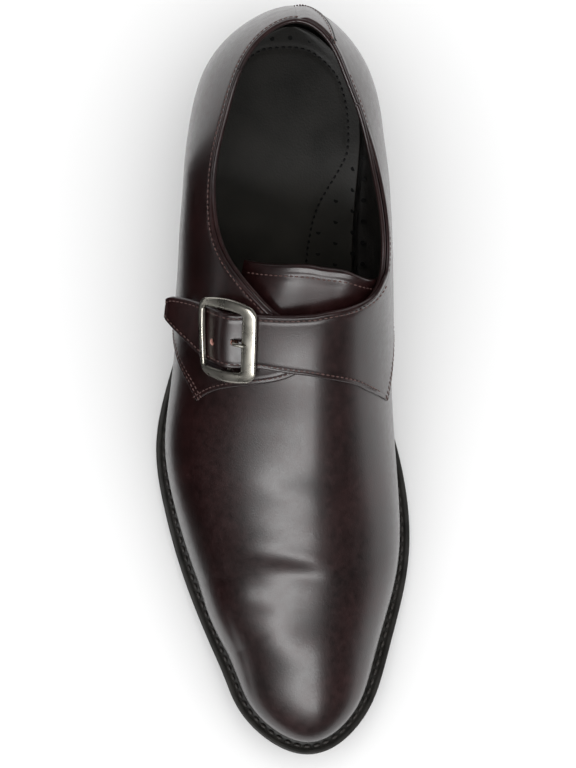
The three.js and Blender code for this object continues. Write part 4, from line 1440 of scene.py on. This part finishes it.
def punchSock():
    s = perforationSizes
    places = list(s["heel"])
    medialSeam = sockSeam[5:]
    rows = int((s["fromY"] - s["toY"]) / s["pitch"]) + 1
    for row in range(rows):
        for x, shift in s["columns"]:
            y = s["fromY"] - s["pitch"] * (row + shift)
            seamX = np.interp(-y, [-b for a, b in medialSeam], [a for a, b in medialSeam])
            if x > seamX + s["fromSeam"]:
                places.append((x, y))
    places = np.array(places)
    sizes = {"Radius": s["radius"], "Depth": s["depth"]}
    # painted shade: a near-black disc at each perforation
    sewFlat("sock_perforations", places, sockFace(places) - 0.2, sizes, holeShade)


punchStrap()
sewUpper()
sewWelt()
sewSock()
punchSock()
print("stitches made")


# stage, camera and light

# lengths in millimetres, and powers in watts or watts a square metre
stageSizes = {
    "floor": 6000,
    "camera": (-54.7, 0.5, 1500.0),
    "lookAt": (1.5, 0.5, 20.0),
    "lens": 170.3,
    "strip": (-285, -780, 1230),
    "stripLookAt": (0, -50, 40),
    "stripSize": (1500, 260),
    "stripPower": 12.5,
    "fill": 4.7,
    "fillAngle": 120,
    "world": 0.05,
    "wall": 2.1,
    "wallTowards": (0.62, 0.78, 0.0),
}


# Seamless white paper: matt, with the faintest sheen
def paperWhite(tree):
    finish = {"Base Color": linearColor("#dcdcdc"), "Roughness": 0.8, "IOR": 1.3}
    return addNode(tree, "ShaderNodeBsdfPrincipled", finish)


# Black felt: it gives back almost nothing
def blackFelt(tree):
    return addNode(tree, "ShaderNodeBsdfDiffuse", {"Color": linearColor("#020202")})


def stagePlane(name, corners, material):
    mesh = bpy.data.meshes.new(name)
    mesh.from_pydata([tuple(Vector(c) * mm) for c in corners], [], [list(range(len(corners)))])
    mesh.materials.append(material)
    plane = bpy.data.objects.new(name, mesh)
    bpy.context.scene.collection.objects.link(plane)
    return plane


half = stageSizes["floor"] / 2
corners = [(-half, -half, 0), (half, -half, 0), (half, half, 0), (-half, half, 0)]
stagePlane("floor", corners, newMaterial("seamless white paper", paperWhite))

# the flag's reflection keeps the lateral wall dark; it casts no shadow and isn't seen itself
corners = [(-75, -160, 2), (-75, 90, 2), (-190, 150, 60), (-190, -160, 60)]
flag = stagePlane("flag", corners, newMaterial("black felt flag", blackFelt))
flag.visible_camera = flag.visible_diffuse = flag.visible_shadow = False


# the one highlight; it is kept off the paper, which would burn out towards the toe
stripLight = bpy.data.lights.new("strip_toe_side", "AREA")
stripLight.shape = "RECTANGLE"
stripLight.size, stripLight.size_y = (length * mm for length in stageSizes["stripSize"])
stripLight.energy = stageSizes["stripPower"]
strip = bpy.data.objects.new("strip_toe_side", stripLight)
strip.location = Vector(stageSizes["strip"]) * mm
strip.rotation_mode = "QUATERNION"
aim = Vector(stageSizes["stripLookAt"]) - Vector(stageSizes["strip"])
strip.rotation_quaternion = aim.to_track_quat("-Z", "Y")
strip.visible_diffuse = False
bpy.context.scene.collection.objects.link(strip)

# a wide soft light straight down that only brightens the paper, so the leather keeps one highlight
fillLight = bpy.data.lights.new("fill", "SUN")
fillLight.energy, fillLight.angle = stageSizes["fill"], math.radians(stageSizes["fillAngle"])
fill = bpy.data.objects.new("fill", fillLight)
fill.visible_glossy = False
bpy.context.scene.collection.objects.link(fill)


# A dim room with white walls low down on the medial side and behind the heel
def studioWorld():
    world = bpy.data.worlds.new("white studio")
    world.use_nodes = True
    tree = world.node_tree
    tree.nodes.clear()
    way = addNode(tree, "ShaderNodeTexCoord").outputs["Generated"]
    sides = {0: way, 1: stageSizes["wallTowards"]}
    towards = addNode(tree, "ShaderNodeVectorMath", sides, operation="DOT_PRODUCT").outputs["Value"]
    climb = addNode(tree, "ShaderNodeSeparateXYZ", {"Vector": way}).outputs["Z"]
    wall, low = [
        addNode(
            tree,
            "ShaderNodeMapRange",
            {"Value": value, "From Min": start, "From Max": end},
            interpolation_type="SMOOTHSTEP",
        )
        for value, start, end in ((towards, 0.0, 0.7), (climb, 0.4, -0.1))
    ]
    share = addNode(tree, "ShaderNodeMath", {0: wall, 1: low}, operation="MULTIPLY")
    powers = {"Value": share, "To Min": stageSizes["world"], "To Max": stageSizes["wall"]}
    strength = addNode(tree, "ShaderNodeMapRange", powers)
    glow = {"Color": linearColor("#ffffff"), "Strength": strength}
    addNode(tree, "ShaderNodeOutputWorld", {"Surface": addNode(tree, "ShaderNodeBackground", glow)})
    bpy.context.scene.world = world


studioWorld()

lensData = bpy.data.cameras.new("camera")
lensData.lens, lensData.sensor_width = stageSizes["lens"], 36
lensData.clip_start, lensData.clip_end = 0.05, 20
camera = bpy.data.objects.new("camera", lensData)
camera.location = Vector(stageSizes["camera"]) * mm
camera.rotation_mode = "QUATERNION"
aim = (Vector(stageSizes["lookAt"]) - Vector(stageSizes["camera"])).normalized()
# the toe points to the bottom of the picture, so the picture's top is towards the heel
side = aim.cross(Vector((0, 1, 0))).normalized()
upward = side.cross(aim).normalized()
turn = Vector(side), Vector(upward), Vector(-aim)
camera.rotation_quaternion = Matrix(turn).transposed().to_quaternion()
bpy.context.scene.collection.objects.link(camera)
bpy.context.scene.camera = camera
bpy.context.scene.view_settings.view_transform = "Standard"
print("stage, camera and light made")
